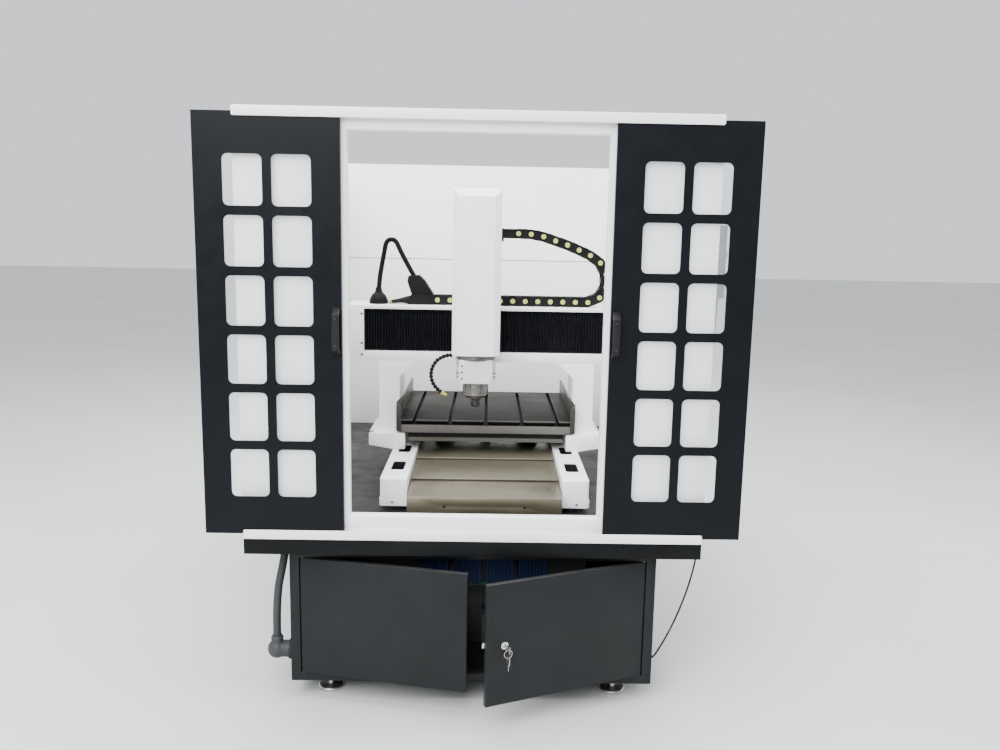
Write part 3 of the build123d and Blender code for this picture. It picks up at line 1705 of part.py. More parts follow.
# Conduit: an arch from the dome up and over into the hood
dome_top_z = beam_top_z + dome_height
hood_mouth_x = chain_start_x + (hood_points[0][0] + hood_points[1][0]) / 2
hood_mouth_z = chain_top_z + (hood_points[0][1] + hood_points[1][1]) / 2
conduit_route = [
    (dome_x, conduit_y, dome_top_z - conduit_tuck),
    (dome_x + 3, conduit_y, dome_top_z + 50),
    (dome_x + 13, conduit_y, dome_top_z + 106),
    (dome_x + 23, conduit_y, dome_top_z + 158),
    (dome_x + 31, conduit_y, dome_top_z + 203),
    (dome_x + 66, conduit_y, dome_top_z + 207),
    (dome_x + 85, conduit_y, dome_top_z + 164),
    (dome_x + 111, conduit_y, dome_top_z + 114),
    (hood_mouth_x, conduit_y, hood_mouth_z - conduit_tuck),
]
conduit = hose(conduit_route, conduit_diameter, "conduit")
write_piece(conduit, "conduit")

# Elbow at the cabinet's left side, with a ribbed collar
elbow_y = back(waste_hose_setback)
elbow_x = -half_cabinet - elbow_offset
with BuildPart() as hose_elbow:
    with Locations((elbow_x, elbow_y, elbow_height)):
        Sphere(elbow_radius)
    rod(Plane(origin=(elbow_x, elbow_y, elbow_height), z_dir=(0, 0, 1)), elbow_neck_radius, elbow_neck_height)
    rod(Plane(origin=(elbow_x, elbow_y, elbow_height), z_dir=(1, 0, 0)), elbow_arm_radius, elbow_offset)
    for index in range(collar_ribs):
        rib_x = -half_cabinet - collar_length * (index + 0.5) / collar_ribs
        rod(
            Plane(origin=(rib_x - collar_length / collar_ribs / 4, elbow_y, elbow_height), z_dir=(1, 0, 0)),
            collar_radius,
            collar_length / collar_ribs / 2,
        )
write_piece(hose_elbow, "hose_elbow")

# Waste hose: from under the tray down to the elbow
elbow_mouth_z = elbow_height + elbow_neck_height
waste_hose_route = [
    (elbow_x + 37, elbow_y, tray_top_z - tray_wall),
    (elbow_x + 37, elbow_y, tray_top_z - 60),
    (elbow_x + 25, elbow_y - 2, tray_top_z - 130),
    (elbow_x + 10, elbow_y - 6, tray_top_z - 200),
    (elbow_x + 3, elbow_y - 4, tray_top_z - 268),
    (elbow_x, elbow_y, tray_top_z - 330),
    (elbow_x, elbow_y, elbow_mouth_z),
]
waste_hose = hose(waste_hose_route, waste_hose_diameter, "waste_hose")
write_piece(waste_hose, "waste_hose")

# Handset on its hook at the right wall
handset_inner_x = panel_outer_x + hook_reach
handset_ys = (back(handset_setback), back(handset_setback) + handset_width)
with BuildPart() as handset:
    span_box((handset_inner_x, handset_inner_x + handset_thickness), handset_ys, (handset_low_z, hook_top_z))
    fillet(handset.edges().filter_by(Axis.X), handset_corner)
write_piece(handset, "handset")

# Lead of the handset: down the wall, past the tray's edge and back into the cabinet's side
lead_x = handset_inner_x + handset_thickness / 2
lead_y = handset_ys[0]
lead_route = [
    (lead_x, lead_y + 38, handset_low_z),
    (lead_x - 1, lead_y + 36, handset_low_z - 55),
    (lead_x - 6, lead_y + 30, handset_low_z - 118),
    (lead_x - 10, lead_y + 25, handset_low_z - 190),
    (lead_x - 13, lead_y + 19, handset_low_z - 268),
    (lead_x - 15, lead_y + 15, handset_low_z - 350),
    (lead_x - 14, lead_y + 12, handset_low_z - 430),
    (lead_x - 12, lead_y + 13, handset_low_z - 512),
    (lead_x - 13, lead_y + 12, handset_low_z - 596),
    (lead_x - 15, lead_y + 13, handset_low_z - 676),
    (lead_x - 18, lead_y + 12, handset_low_z - 756),
    (lead_x - 24, lead_y + 11, handset_low_z - 826),
    (lead_x - 34, lead_y + 9, handset_low_z - 890),
    (lead_x - 50, lead_y + 7, handset_low_z - 955),
    (lead_x - 70, lead_y + 6, handset_low_z - 1018),
    (lead_x - 93, lead_y + 6, handset_low_z - 1080),
    (lead_x - 119, lead_y + 7, handset_low_z - 1138),
    (lead_x - 142, lead_y + 9, handset_low_z - 1182),
    (half_cabinet + 9, lead_y + 10, handset_low_z - 1197),
    (half_cabinet, lead_y + 10, handset_low_z - 1197),
]
handset_lead = hose(lead_route, lead_diameter, "handset_lead")
write_piece(handset_lead, "handset_lead")
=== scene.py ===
"""Looks of an enclosed bench milling machine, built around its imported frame.

The frame gives every solid piece at its real size and place. This script dresses them: it rounds
and finishes what is already there, models the pieces that need more detail, lays the hoses and
the lead, and sets up the studio. Lengths are in metres, +X right, +Y back, +Z up.
"""

import json
import logging
from contextlib import contextmanager
from dataclasses import dataclass, field
from enum import Enum
from math import acos, cos, pi, radians, sin
from typing import Callable, Iterator, Sequence

import bmesh
import bpy
from mathutils import Matrix, Vector


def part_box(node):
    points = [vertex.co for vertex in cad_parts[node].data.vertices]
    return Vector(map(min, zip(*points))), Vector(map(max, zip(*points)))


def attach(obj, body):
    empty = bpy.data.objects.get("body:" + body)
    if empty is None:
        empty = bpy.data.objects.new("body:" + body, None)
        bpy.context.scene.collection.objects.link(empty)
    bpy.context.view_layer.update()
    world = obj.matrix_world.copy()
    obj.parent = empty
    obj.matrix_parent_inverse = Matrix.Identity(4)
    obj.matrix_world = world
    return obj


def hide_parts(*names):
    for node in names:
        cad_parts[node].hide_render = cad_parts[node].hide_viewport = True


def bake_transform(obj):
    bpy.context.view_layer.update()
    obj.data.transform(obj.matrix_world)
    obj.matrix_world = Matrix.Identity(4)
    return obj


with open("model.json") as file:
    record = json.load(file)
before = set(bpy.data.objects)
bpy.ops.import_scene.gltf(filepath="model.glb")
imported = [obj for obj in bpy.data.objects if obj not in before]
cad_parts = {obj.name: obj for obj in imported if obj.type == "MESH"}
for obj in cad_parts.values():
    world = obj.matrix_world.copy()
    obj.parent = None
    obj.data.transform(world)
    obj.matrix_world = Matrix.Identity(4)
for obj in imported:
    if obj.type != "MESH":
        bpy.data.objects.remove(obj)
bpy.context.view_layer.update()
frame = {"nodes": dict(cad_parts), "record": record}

LOG = logging.getLogger("milling_machine")
MM = 0.001
ALIGNED = 0.9  # the least cosine at which a face or an edge counts as lying along an axis

Piece = bpy.types.Object
Socket = bpy.types.NodeSocket
Colour = tuple[float, float, float]
Station = tuple[float, float]


class Facing(Enum):
    """The side that a small piece, such as a screw head, looks to."""

    FRONT = (0.0, -1.0, 0.0)
    BACK = (0.0, 1.0, 0.0)
    LEFT = (-1.0, 0.0, 0.0)
    RIGHT = (1.0, 0.0, 0.0)
    UP = (0.0, 0.0, 1.0)
    DOWN = (0.0, 0.0, -1.0)

    def turn(self) -> Matrix:
        """Give the rotation that turns +Z to this side."""
        return turn_to(Vector(self.value))


class Side(Enum):
    """The left or the right half of the machine, seen from its doors."""

    LEFT = -1
    RIGHT = 1

    @property
    def word(self) -> str:
        """The side's name in lower case."""
        return self.name.lower()


def turn_to(direction: Vector) -> Matrix:
    """Give the rotation that turns +Z to a direction.

    Args:
        direction: any vector that has a length.

    Returns:
        A 4 by 4 rotation matrix.
    """
    return Vector((0, 0, 1)).rotation_difference(direction.normalized()).to_matrix().to_4x4()


# Modelling helpers


def clear_selection() -> None:
    """Leave edit mode and deselect every object."""
    if bpy.context.object is not None and bpy.context.object.mode != "OBJECT":
        bpy.ops.object.mode_set(mode="OBJECT")
    bpy.ops.object.select_all(action="DESELECT")


def make_active(piece: Piece) -> None:
    """Select one object alone and make it the active one.

    Args:
        piece: the object.
    """
    clear_selection()
    piece.select_set(True)
    bpy.context.view_layer.objects.active = piece


def add_to_scene(name: str, data: bpy.types.ID) -> Piece:
    """Put a new object that shows some data into the scene.

    Args:
        name: the object's name.
        data: its mesh, curve, lamp or camera.

    Returns:
        The new object.
    """
    piece = bpy.data.objects.new(name, data)
    bpy.context.scene.collection.objects.link(piece)
    return piece


def name_and_settle(name: str) -> Piece:
    """Name the new primitive and put its place into its mesh.

    Args:
        name: the name of the object and of its mesh.

    Returns:
        The settled object, at the origin.
    """
    piece = bpy.context.object
    piece.name = name
    piece.data.name = name
    bpy.ops.object.transform_apply(location=True, rotation=True, scale=True)
    return piece


@contextmanager
def edit_mode(piece: Piece, kind: str = "FACE") -> Iterator[None]:
    """Open a piece in edit mode with nothing selected.

    Args:
        piece: the mesh object to edit.
        kind: what is selected, VERT, EDGE or FACE.
    """
    make_active(piece)
    bpy.ops.object.mode_set(mode="EDIT")
    bpy.ops.mesh.select_mode(type=kind)
    bpy.ops.mesh.select_all(action="DESELECT")
    yield
    bpy.ops.object.mode_set(mode="OBJECT")


def select_faces(piece: Piece, *ways: Facing) -> None:
    """In edit mode, select the faces that look to one of some sides.

    Args:
        piece: the mesh object.
        ways: the sides.
    """
    mesh = bmesh.from_edit_mesh(piece.data)
    for face in mesh.faces:
        if any(face.normal.dot(Vector(way.value)) > ALIGNED for way in ways):
            face.select_set(True)
    bmesh.update_edit_mesh(piece.data)


def select_edges(piece: Piece, wanted: Callable[[Vector, Vector], bool]) -> None:
    """In edit mode, select the edges whose middle and direction pass a test.

    Args:
        piece: the mesh object.
        wanted: the test of a middle and a direction.
    """
    mesh = bmesh.from_edit_mesh(piece.data)
    for edge in mesh.edges:
        start, end = edge.verts[0].co, edge.verts[1].co
        if wanted((start + end) / 2, (end - start).normalized()):
            edge.select_set(True)
    bmesh.update_edit_mesh(piece.data)


def select_rows(piece: Piece, axis: int) -> None:
    """In edit mode, select every second row of vertices along an axis.

    Args:
        piece: the mesh object.
        axis: the axis, 0 for X, 1 for Y or 2 for Z.
    """
    mesh = bmesh.from_edit_mesh(piece.data)
    rows = sorted({round(vertex.co[axis], 6) for vertex in mesh.verts})
    dips = set(rows[1::2])
    for vertex in mesh.verts:
        vertex.select_set(round(vertex.co[axis], 6) in dips)
    mesh.select_flush(True)
    bmesh.update_edit_mesh(piece.data)


def turn_out(piece: Piece, distance: float = 1e-6) -> Piece:
    """Merge a mesh's doubles and turn its faces outwards.

    Args:
        piece: the mesh object.
        distance: how close two doubles are.

    Returns:
        The same piece.
    """
    with edit_mode(piece):
        bpy.ops.mesh.select_all(action="SELECT")
        bpy.ops.mesh.remove_doubles(threshold=distance)
        bpy.ops.mesh.normals_make_consistent(inside=False)
    return piece


def smooth(piece: Piece, angle: float = 32.0) -> Piece:
    """Shade a piece smooth, apart from its edges sharper than an angle in degrees.

    Args:
        piece: the mesh object.
        angle: the least turn of an edge that stays sharp.

    Returns:
        The same piece.
    """
    make_active(piece)
    bpy.ops.object.shade_smooth_by_angle(angle=radians(angle))
    return piece


def apply_modifier(piece: Piece, modifier: bpy.types.Modifier) -> None:
    """Apply one modifier to a piece's mesh."""
    make_active(piece)
    bpy.ops.object.modifier_apply(modifier=modifier.name)


def soften(piece: Piece, width: float, segments: int = 2, angle: float = 32.0) -> Piece:
    """Round the edges of a piece that are sharper than an angle.

    Args:
        piece: the mesh object.
        width: the width of the rounding.
        segments: how many faces go round each edge.
        angle: the least turn of a rounded edge, in degrees.

    Returns:
        The same piece, smooth shaded.
    """
    rounding = piece.modifiers.new("edges", "BEVEL")
    rounding.width = width
    rounding.segments = segments
    rounding.limit_method = "ANGLE"
    rounding.angle_limit = radians(angle)
    apply_modifier(piece, rounding)
    return smooth(piece)


def block(name: str, low: Sequence[float], high: Sequence[float]) -> Piece:
    """Add a box between two corners.

    Args:
        name: the piece's name.
        low: its lowest corner.
        high: its highest corner.

    Returns:
        The new piece.
    """
    clear_selection()
    middle = [(a + b) / 2 for a, b in zip(low, high)]
    size = [b - a for a, b in zip(low, high)]
    bpy.ops.mesh.primitive_cube_add(size=1, location=middle, scale=size)
    return name_and_settle(name)


def grid(
    name: str, middle: Sequence[float], size: Sequence[float], counts: Sequence[int], upright: bool
) -> Piece:
    """Add a flat grid of faces.

    Args:
        name: the piece's name.
        middle: where its middle goes.
        size: its width and its depth or height.
        counts: how many faces it has each way.
        upright: whether it stands in the XZ plane, or else lies in the XY plane.

    Returns:
        The new piece.
    """
    clear_selection()
    bpy.ops.mesh.primitive_grid_add(
        x_subdivisions=counts[0], y_subdivisions=counts[1], size=1, location=middle,
        rotation=(pi / 2 if upright else 0, 0, 0),
    )
    bpy.context.object.scale = (size[0], size[1], 1)
    return name_and_settle(name)


def turned(name: str, profile: Sequence[Station], place: Matrix, sides: int = 48) -> Piece:
    """Make a turned piece: a round face that is extruded and scaled from station to station.

    Args:
        name: the piece's name.
        profile: its radius and height at each step, from its foot along its axis.
        place: where the foot of its axis goes, with +Z along the axis.
        sides: how many sides go round it.

    Returns:
        The new piece.
    """
    clear_selection()
    radius, height = profile[0]
    bpy.ops.mesh.primitive_circle_add(
        vertices=sides, radius=radius, fill_type="NGON", location=(0, 0, height)
    )
    piece = name_and_settle(name)
    with edit_mode(piece):
        bpy.ops.mesh.select_all(action="SELECT")
        for next_radius, next_height in profile[1:]:
            rise = (0, 0, next_height - height)
            bpy.ops.mesh.extrude_region_move(TRANSFORM_OT_translate={"value": rise})
            ratio = next_radius / radius
            bpy.ops.transform.resize(value=(ratio, ratio, 1), center_override=(0, 0, next_height))
            radius, height = next_radius, next_height
    turn_out(piece)
    piece.data.transform(place)
    return smooth(piece)


def inset(
    piece: Piece, ways: Sequence[Facing], rim: float, depth: float, cuts: int = 0
) -> Piece:
    """Sink the faces that look to some sides, inside a rim.

    Args:
        piece: the mesh object.
        ways: the sides.
        rim: how wide the rim is.
        depth: how far the inside sinks.
        cuts: how often each face is divided first, so that each field has its rim.

    Returns:
        The same piece.
    """
    with edit_mode(piece):
        select_faces(piece, *ways)
        if cuts:
            bpy.ops.mesh.subdivide(number_cuts=cuts)
        bpy.ops.mesh.inset(thickness=rim, depth=-depth, use_individual=cuts > 0)
    return piece


def round_along(piece: Piece, axis: int, width: float, segments: int) -> None:
    """Round a block's four edges along an axis.

    Args:
        piece: the block.
        axis: the axis, 0 for X, 1 for Y or 2 for Z.
        width: the width of the rounding.
        segments: how many faces go round each edge.
    """
    with edit_mode(piece, "EDGE"):
        select_edges(piece, lambda middle, way: abs(way[axis]) > ALIGNED)
        bpy.ops.mesh.bevel(offset=width, segments=segments, affect="EDGES")


def thicken(piece: Piece, thickness: float, offset: float, angle: float) -> Piece:
    """Give a sheet of faces a wall.

    Args:
        piece: the mesh object.
        thickness: the wall's thickness.
        offset: the side that it grows to, from -1 to 1.
        angle: the least turn of a sharp edge, in degrees.

    Returns:
        The same piece, smooth shaded.
    """
    wall = piece.modifiers.new("wall", "SOLIDIFY")
    wall.thickness = thickness
    wall.offset = offset
    apply_modifier(piece, wall)
    return smooth(turn_out(piece), angle)


def slice_off(piece: Piece, point: Sequence[float], normal: Sequence[float]) -> Piece:
    """Cut away what lies past a plane, and close the cut.

    Args:
        piece: the mesh object.
        point: a point of the plane.
        normal: the direction in which everything goes.

    Returns:
        The same piece.
    """
    with edit_mode(piece):
        bpy.ops.mesh.select_all(action="SELECT")
        bpy.ops.mesh.bisect(plane_co=point, plane_no=normal, use_fill=True, clear_outer=True)
    return piece


def cut(piece: Piece, cutter: Piece) -> Piece:
    """Cut one piece out of another, and remove the cutter.

    Args:
        piece: what is cut.
        cutter: the shape that is taken away.

    Returns:
        The same piece.
    """
    gap = piece.modifiers.new("gap", "BOOLEAN")
    gap.operation = "DIFFERENCE"
    gap.object = cutter
    gap.solver = "EXACT"
    apply_modifier(piece, gap)
    bpy.data.objects.remove(cutter)
    return piece


def copy_of(piece: Piece, name: str, place: Matrix) -> Piece:
    """Copy a piece with a mesh of its own, moved by a matrix.

    Args:
        piece: what is copied.
        name: the copy's name.
        place: the matrix.

    Returns:
        The copy.
    """
    twin = add_to_scene(name, piece.data.copy())
    twin.data.transform(place)
    return twin


def join(pieces: Sequence[Piece], name: str) -> Piece:
    """Join pieces into one object.

    Args:
        pieces: the pieces.
        name: the name of the whole.

    Returns:
        The joined piece.
    """
    clear_selection()
    for piece in pieces:
        piece.select_set(True)
    bpy.context.view_layer.objects.active = pieces[0]
    bpy.ops.object.join()
    joined = bpy.context.object
    joined.name = name
    joined.data.name = name
    return joined


def stations(radius: float, foot: float, *steps: Station) -> list[Station]:
    """Give a profile from steps in millimetres, out from a radius and up from a foot."""
    return [(radius + out * MM, foot + up * MM) for out, up in steps]


def steps_from(origin: Sequence[float], *steps: Sequence[float]) -> list[Vector]:
    """Give the points at steps in millimetres from an origin."""
    return [Vector([a + b * MM for a, b in zip(origin, step)]) for step in steps]


def screw_stations(radius: float, height: float) -> list[Station]:
    """Give the profile of a socket head, with its recess.

    Args:
        radius: the head's radius.
        height: how far it stands out.

    Returns:
        The profile.
    """
    socket = 0.52 * radius
    return [
        (radius, 0),
        (radius, 0.82 * height),
        (0.88 * radius, height),
        (socket, height),
        (socket, 0.35 * height),
    ]


def spread(low: float, high: float, count: int) -> list[float]:
    """Give evenly spaced values from low to high, ends included."""
    return [low + (high - low) * n / (count - 1) for n in range(count)]


# Finishes


class NodeDesk:
    """Adds and links the shader nodes of one material."""

    def __init__(self, name: str, edge_radius: float) -> None:
        """Start a material.

        Args:
            name: the material's name.
            edge_radius: how far the shading rounds an edge.
        """
        self.material = bpy.data.materials.new(name)
        self.material.use_nodes = True
        self.nodes = self.material.node_tree.nodes
        self.shader = self.nodes["Principled BSDF"]
        self.place = self.nodes.new("ShaderNodeTexCoord").outputs["Object"]
        rounded = self.nodes.new("ShaderNodeBevel")
        rounded.samples = 4
        rounded.inputs["Radius"].default_value = edge_radius
        self.soft_normal = rounded.outputs["Normal"]

    def link(self, output: Socket, target: Socket) -> None:
        """Link an output to an input."""
        self.material.node_tree.links.new(output, target)

    def noise(
        self, scale: float, detail: float = 3.0, stretch: Colour = (1, 1, 1), shift: float = 0.0
    ) -> Socket:
        """Add a noise on the piece's own coordinates.

        Args:
            scale: how fine it is, in turns a metre.
            detail: how many finer layers it has.
            stretch: its scale along each axis.
            shift: moves the pattern, so that two noises differ.

        Returns:
            Its value, from 0 to 1.
        """
        mapping = self.nodes.new("ShaderNodeMapping")
        mapping.inputs["Scale"].default_value = stretch
        mapping.inputs["Location"].default_value = (shift, shift, shift)
        self.link(self.place, mapping.inputs["Vector"])
        noise = self.nodes.new("ShaderNodeTexNoise")
        noise.inputs["Scale"].default_value = scale
        noise.inputs["Detail"].default_value = detail
        self.link(mapping.outputs["Vector"], noise.inputs["Vector"])
        return noise.outputs["Fac"]

    def span(self, value: Socket, source: Station, result: Station) -> Socket:
        """Map a value's span to another span, without going past its ends.

        Args:
            value: the value.
            source: its span.
            result: the span to map to.

        Returns:
            The mapped value.
        """
        node = self.nodes.new("ShaderNodeMapRange")
        node.inputs["From Min"].default_value = source[0]
        node.inputs["From Max"].default_value = source[1]
        node.inputs["To Min"].default_value = result[0]
        node.inputs["To Max"].default_value = result[1]
        self.link(value, node.inputs["Value"])
        return node.outputs["Result"]

    def maths(self, kind: str, first: Socket, second: Socket | float) -> Socket:
        """Combine two values by an operation such as ADD or MULTIPLY.

        Args:
            kind: the operation.
            first: the first value.
            second: the second value, or a constant.

        Returns:
            The result.
        """
        node = self.nodes.new("ShaderNodeMath")
        node.operation = kind
        self.link(first, node.inputs[0])
        if isinstance(second, float):
            node.inputs[1].default_value = second
        else:
            self.link(second, node.inputs[1])
        return node.outputs["Value"]

    def blend(self, share: Socket, first: Colour | Socket, second: Colour) -> Socket:
        """Blend from a colour to a second one by a share.

        Args:
            share: the share of the second colour.
            first: the colour at 0.
            second: the colour at 1.

        Returns:
            The blended colour.
        """
        node = self.nodes.new("ShaderNodeMix")
        node.data_type = "RGBA"
        self.link(share, node.inputs[0])
        if isinstance(first, tuple):
            node.inputs[6].default_value = (*first, 1)
        else:
            self.link(first, node.inputs[6])
        node.inputs[7].default_value = (*second, 1)
        return node.outputs[2]

    def part(self, vector: Socket, axis: str) -> Socket:
        """Give one axis of a vector.

        Args:
            vector: the vector.
            axis: X, Y or Z.

        Returns:
            Its value along the axis.
        """
        parts = self.nodes.new("ShaderNodeSeparateXYZ")
        self.link(vector, parts.inputs[0])
        return parts.outputs[axis]

    def facing(self, axis: str) -> Socket:
        """Give one axis of the face's normal."""
        return self.part(self.nodes.new("ShaderNodeNewGeometry").outputs["Normal"], axis)

    def edges(self) -> Socket:
        """Give a mask that is 1 at sharp edges and 0 on flat faces.

        Returns:
            The mask's value.
        """
        geometry = self.nodes.new("ShaderNodeNewGeometry")
        dot = self.nodes.new("ShaderNodeVectorMath")
        dot.operation = "DOT_PRODUCT"
        self.link(self.soft_normal, dot.inputs[0])
        self.link(geometry.outputs["Normal"], dot.inputs[1])
        return self.span(dot.outputs["Value"], (0.995, 0.8), (0.0, 1.0))

    def relief(self, height: Socket, depth: float) -> Socket:
        """Give the softened normal with a relief of a depth in metres.

        Args:
            height: the relief's height.
            depth: its depth.

        Returns:
            The normal.
        """
        bump = self.nodes.new("ShaderNodeBump")
        bump.inputs["Strength"].default_value = 1.0
        bump.inputs["Distance"].default_value = depth
        self.link(height, bump.inputs["Height"])
        self.link(self.soft_normal, bump.inputs["Normal"])
        return bump.outputs["Normal"]


@dataclass(frozen=True)
class Finish:
    """A surface: colour, dirtier shade, gloss, fine relief, edge wear and painted edge highlight.
    """

    colour: Colour
    shade: Colour
    gloss: Station = (0.38, 0.52)
    metallic: float = 0.0
    mottle: float = 5.0
    stretch: Colour = (1, 1, 1)
    grain: float = 500.0
    depth: float = 0.00004
    edge_radius: float = 0.0012
    edge_colour: Colour | None = None
    specular: float = 0.5

    def make(self, name: str) -> bpy.types.Material:
        """Make the material.

        Args:
            name: the material's name.

        Returns:
            The material.
        """
        desk = NodeDesk(name, self.edge_radius)
        desk.shader.inputs["Metallic"].default_value = self.metallic
        desk.shader.inputs["Specular IOR Level"].default_value = self.specular
        desk.link(self.tone(desk), desk.shader.inputs["Base Color"])
        desk.link(self.shine(desk), desk.shader.inputs["Roughness"])
        desk.link(desk.relief(self.height(desk), self.depth), desk.shader.inputs["Normal"])
        self.extras(desk)
        return desk.material

    def tone(self, desk: NodeDesk) -> Socket:
        """Give the colour over the surface.

        Args:
            desk: the desk of the material that is made.

        Returns:
            The colour.
        """
        patches = desk.span(desk.noise(self.mottle, 6.0, self.stretch), (0.38, 0.72), (0.0, 1.0))
        colour = desk.blend(patches, self.colour, self.shade)
        if self.edge_colour is None:
            return colour
        # Lighter edges: wear chips, and on the way covers also a painted highlight along the edges.
        edge_patches = desk.span(desk.noise(90.0, 4.0, shift=3.1), (0.45, 0.62), (0.0, 0.8))
        return desk.blend(desk.maths("MULTIPLY", desk.edges(), edge_patches), colour, self.edge_colour)

    def shine(self, desk: NodeDesk) -> Socket:
        """Give the roughness over the surface."""
        patches = desk.noise(3.5 * self.mottle, 4.0, self.stretch, 1.7)
        return desk.span(patches, (0.3, 0.7), self.gloss)

    def height(self, desk: NodeDesk) -> Socket:
        """Give the relief's height."""
        return desk.noise(self.grain, 2.0)

    def extras(self, desk: NodeDesk) -> None:
        """Set what only this finish has."""


@dataclass(frozen=True)
class PaintedSheet(Finish):
    """Powder coat on sheet metal, with dust that settles on what faces up."""

    dust: Colour = (0.5, 0.49, 0.46)
    dust_share: float = 0.12

    def tone(self, desk: NodeDesk) -> Socket:
        """Give the paint's colour with dust on the upper faces and specks all over.

        Args:
            desk: the desk of the material that is made.

        Returns:
            The colour.
        """
        colour = Finish.tone(self, desk)
        upward = desk.span(desk.facing("Z"), (0.2, 0.95), (0.04, 1.0))
        specks = desk.span(desk.noise(9.0, 3.0, shift=5.3), (0.25, 0.85), (0.0, self.dust_share))
        return desk.blend(desk.maths("MULTIPLY", upward, specks), colour, self.dust)


@dataclass(frozen=True)
class SprayedCasting(PaintedSheet):
    """Enamel sprayed on a casting: a slow swell under a fine orange peel."""

    def height(self, desk: NodeDesk) -> Socket:
        """Give the swell of the casting with the peel of its paint."""
        swell = desk.maths("MULTIPLY", desk.noise(34.0, 3.0), 2.2)
        return desk.maths("ADD", swell, desk.noise(self.grain, 2.0))


@dataclass(frozen=True)
class OiledSheet(Finish):
    """Bare rolled sheet with an oil film: streaks along the rolling and wet patches."""

    oil: Colour = (0.09, 0.078, 0.05)
    oil_share: float = 0.55

    def tone(self, desk: NodeDesk) -> Socket:
        """Give the sheet's colour with its oil stains.

        Args:
            desk: the desk of the material that is made.

        Returns:
            The colour.
        """
        colour = Finish.tone(self, desk)
        stains = desk.span(desk.noise(3.4, 2.0, shift=2.3), (0.5, 0.75), (0.0, self.oil_share))
        return desk.blend(stains, colour, self.oil)

    def shine(self, desk: NodeDesk) -> Socket:
        """Give a gloss that is higher where the oil lies.

        Args:
            desk: the desk of the material that is made.

        Returns:
            The roughness.
        """
        dry_to_wet = (self.gloss[1], self.gloss[0])
        wet = desk.span(desk.noise(3.4, 2.0, shift=2.3), (0.42, 0.7), dry_to_wet)
        return desk.maths("ADD", wet, desk.span(desk.noise(140.0, 3.0), (0.3, 0.7), (-0.05, 0.06)))

    def height(self, desk: NodeDesk) -> Socket:
        """Give the fine lines of the rolling."""
        return desk.noise(self.grain, 2.0, self.stretch)


@dataclass(frozen=True)
class GroundIron(OiledSheet):
    """Ground cast iron, with painted shade on its upper faces and in its slots."""

    # top and slot are painted shade: the upper faces' dark colour and the black of the slots.
    top: Colour = (0.013, 0.012, 0.0105)
    slot: Colour = (0.0035, 0.0033, 0.003)
    slot_height: Station = (0.799, 0.8045)
    front_edge: Station = (-0.0775, -0.0760)
    rear_edge: Station = (0.5735, 0.5720)

    def tone(self, desk: NodeDesk) -> Socket:
        """Give the iron's colour, with painted shade darkening its upper faces and blacking its
        slots.

        Args:
            desk: the desk of the material that is made.

        Returns:
            The colour.
        """
        upward = desk.span(desk.facing("Z"), (0.75, 0.98), (0.0, 0.95))
        colour = desk.blend(upward, OiledSheet.tone(self, desk), self.top)
        height, depth = desk.part(desk.place, "Z"), desk.part(desk.place, "Y")
        # Painted shade: the slots and gutter below slot_height, between the front and rear edges,
        # go black.
        deep = desk.span(height, self.slot_height, (1.0, 0.0))
        for limit in (self.front_edge, self.rear_edge):
            deep = desk.maths("MULTIPLY", deep, desk.span(depth, limit, (0.0, 1.0)))
        return desk.blend(deep, colour, self.slot)


@dataclass(frozen=True)
class TurnedMetal(Finish):
    """Bare metal off a lathe or mill, with tool lines across one axis."""

    lines: Colour = (1, 1, 40)

    def height(self, desk: NodeDesk) -> Socket:
        """Give the tool lines."""
        return desk.noise(30.0, 3.0, self.lines)


@dataclass(frozen=True)
class MouldedPlastic(Finish):
    """Moulded plastic with a fine spark grain."""

    specular: float = 0.26

    def height(self, desk: NodeDesk) -> Socket:
        """Give the grain as small cells.

        Args:
            desk: the desk of the material that is made.

        Returns:
            The relief's height.
        """
        cells = desk.nodes.new("ShaderNodeTexVoronoi")
        cells.inputs["Scale"].default_value = self.grain
        desk.link(desk.place, cells.inputs["Vector"])
        return cells.outputs["Distance"]


@dataclass(frozen=True)
class BellowsCloth(Finish):
    """Coated cloth: a fine plain weave under a dull skin."""

    def height(self, desk: NodeDesk) -> Socket:
        """Give the weave as crossed threads.

        Args:
            desk: the desk of the material that is made.

        Returns:
            The relief's height.
        """
        along = desk.noise(self.grain, 1.0, (1, 1, 0.08))
        across = desk.noise(self.grain, 1.0, (0.08, 0.08, 1), 0.7)
        return desk.maths("ADD", along, across)


@dataclass(frozen=True)
class ClearSheet(Finish):
    """Clear window sheet with a few smears."""

    alpha: float = 0.13

    def extras(self, desk: NodeDesk) -> None:
        """Let the light through."""
        desk.shader.inputs["Alpha"].default_value = self.alpha
        desk.shader.inputs["IOR"].default_value = 1.49


@dataclass(frozen=True)
class StudioFloor(Finish):
    """Pale floor paint that shows faint rolling."""

    def height(self, desk: NodeDesk) -> Socket:
        """Give a faint uneven skin."""
        return desk.noise(60.0, 4.0)


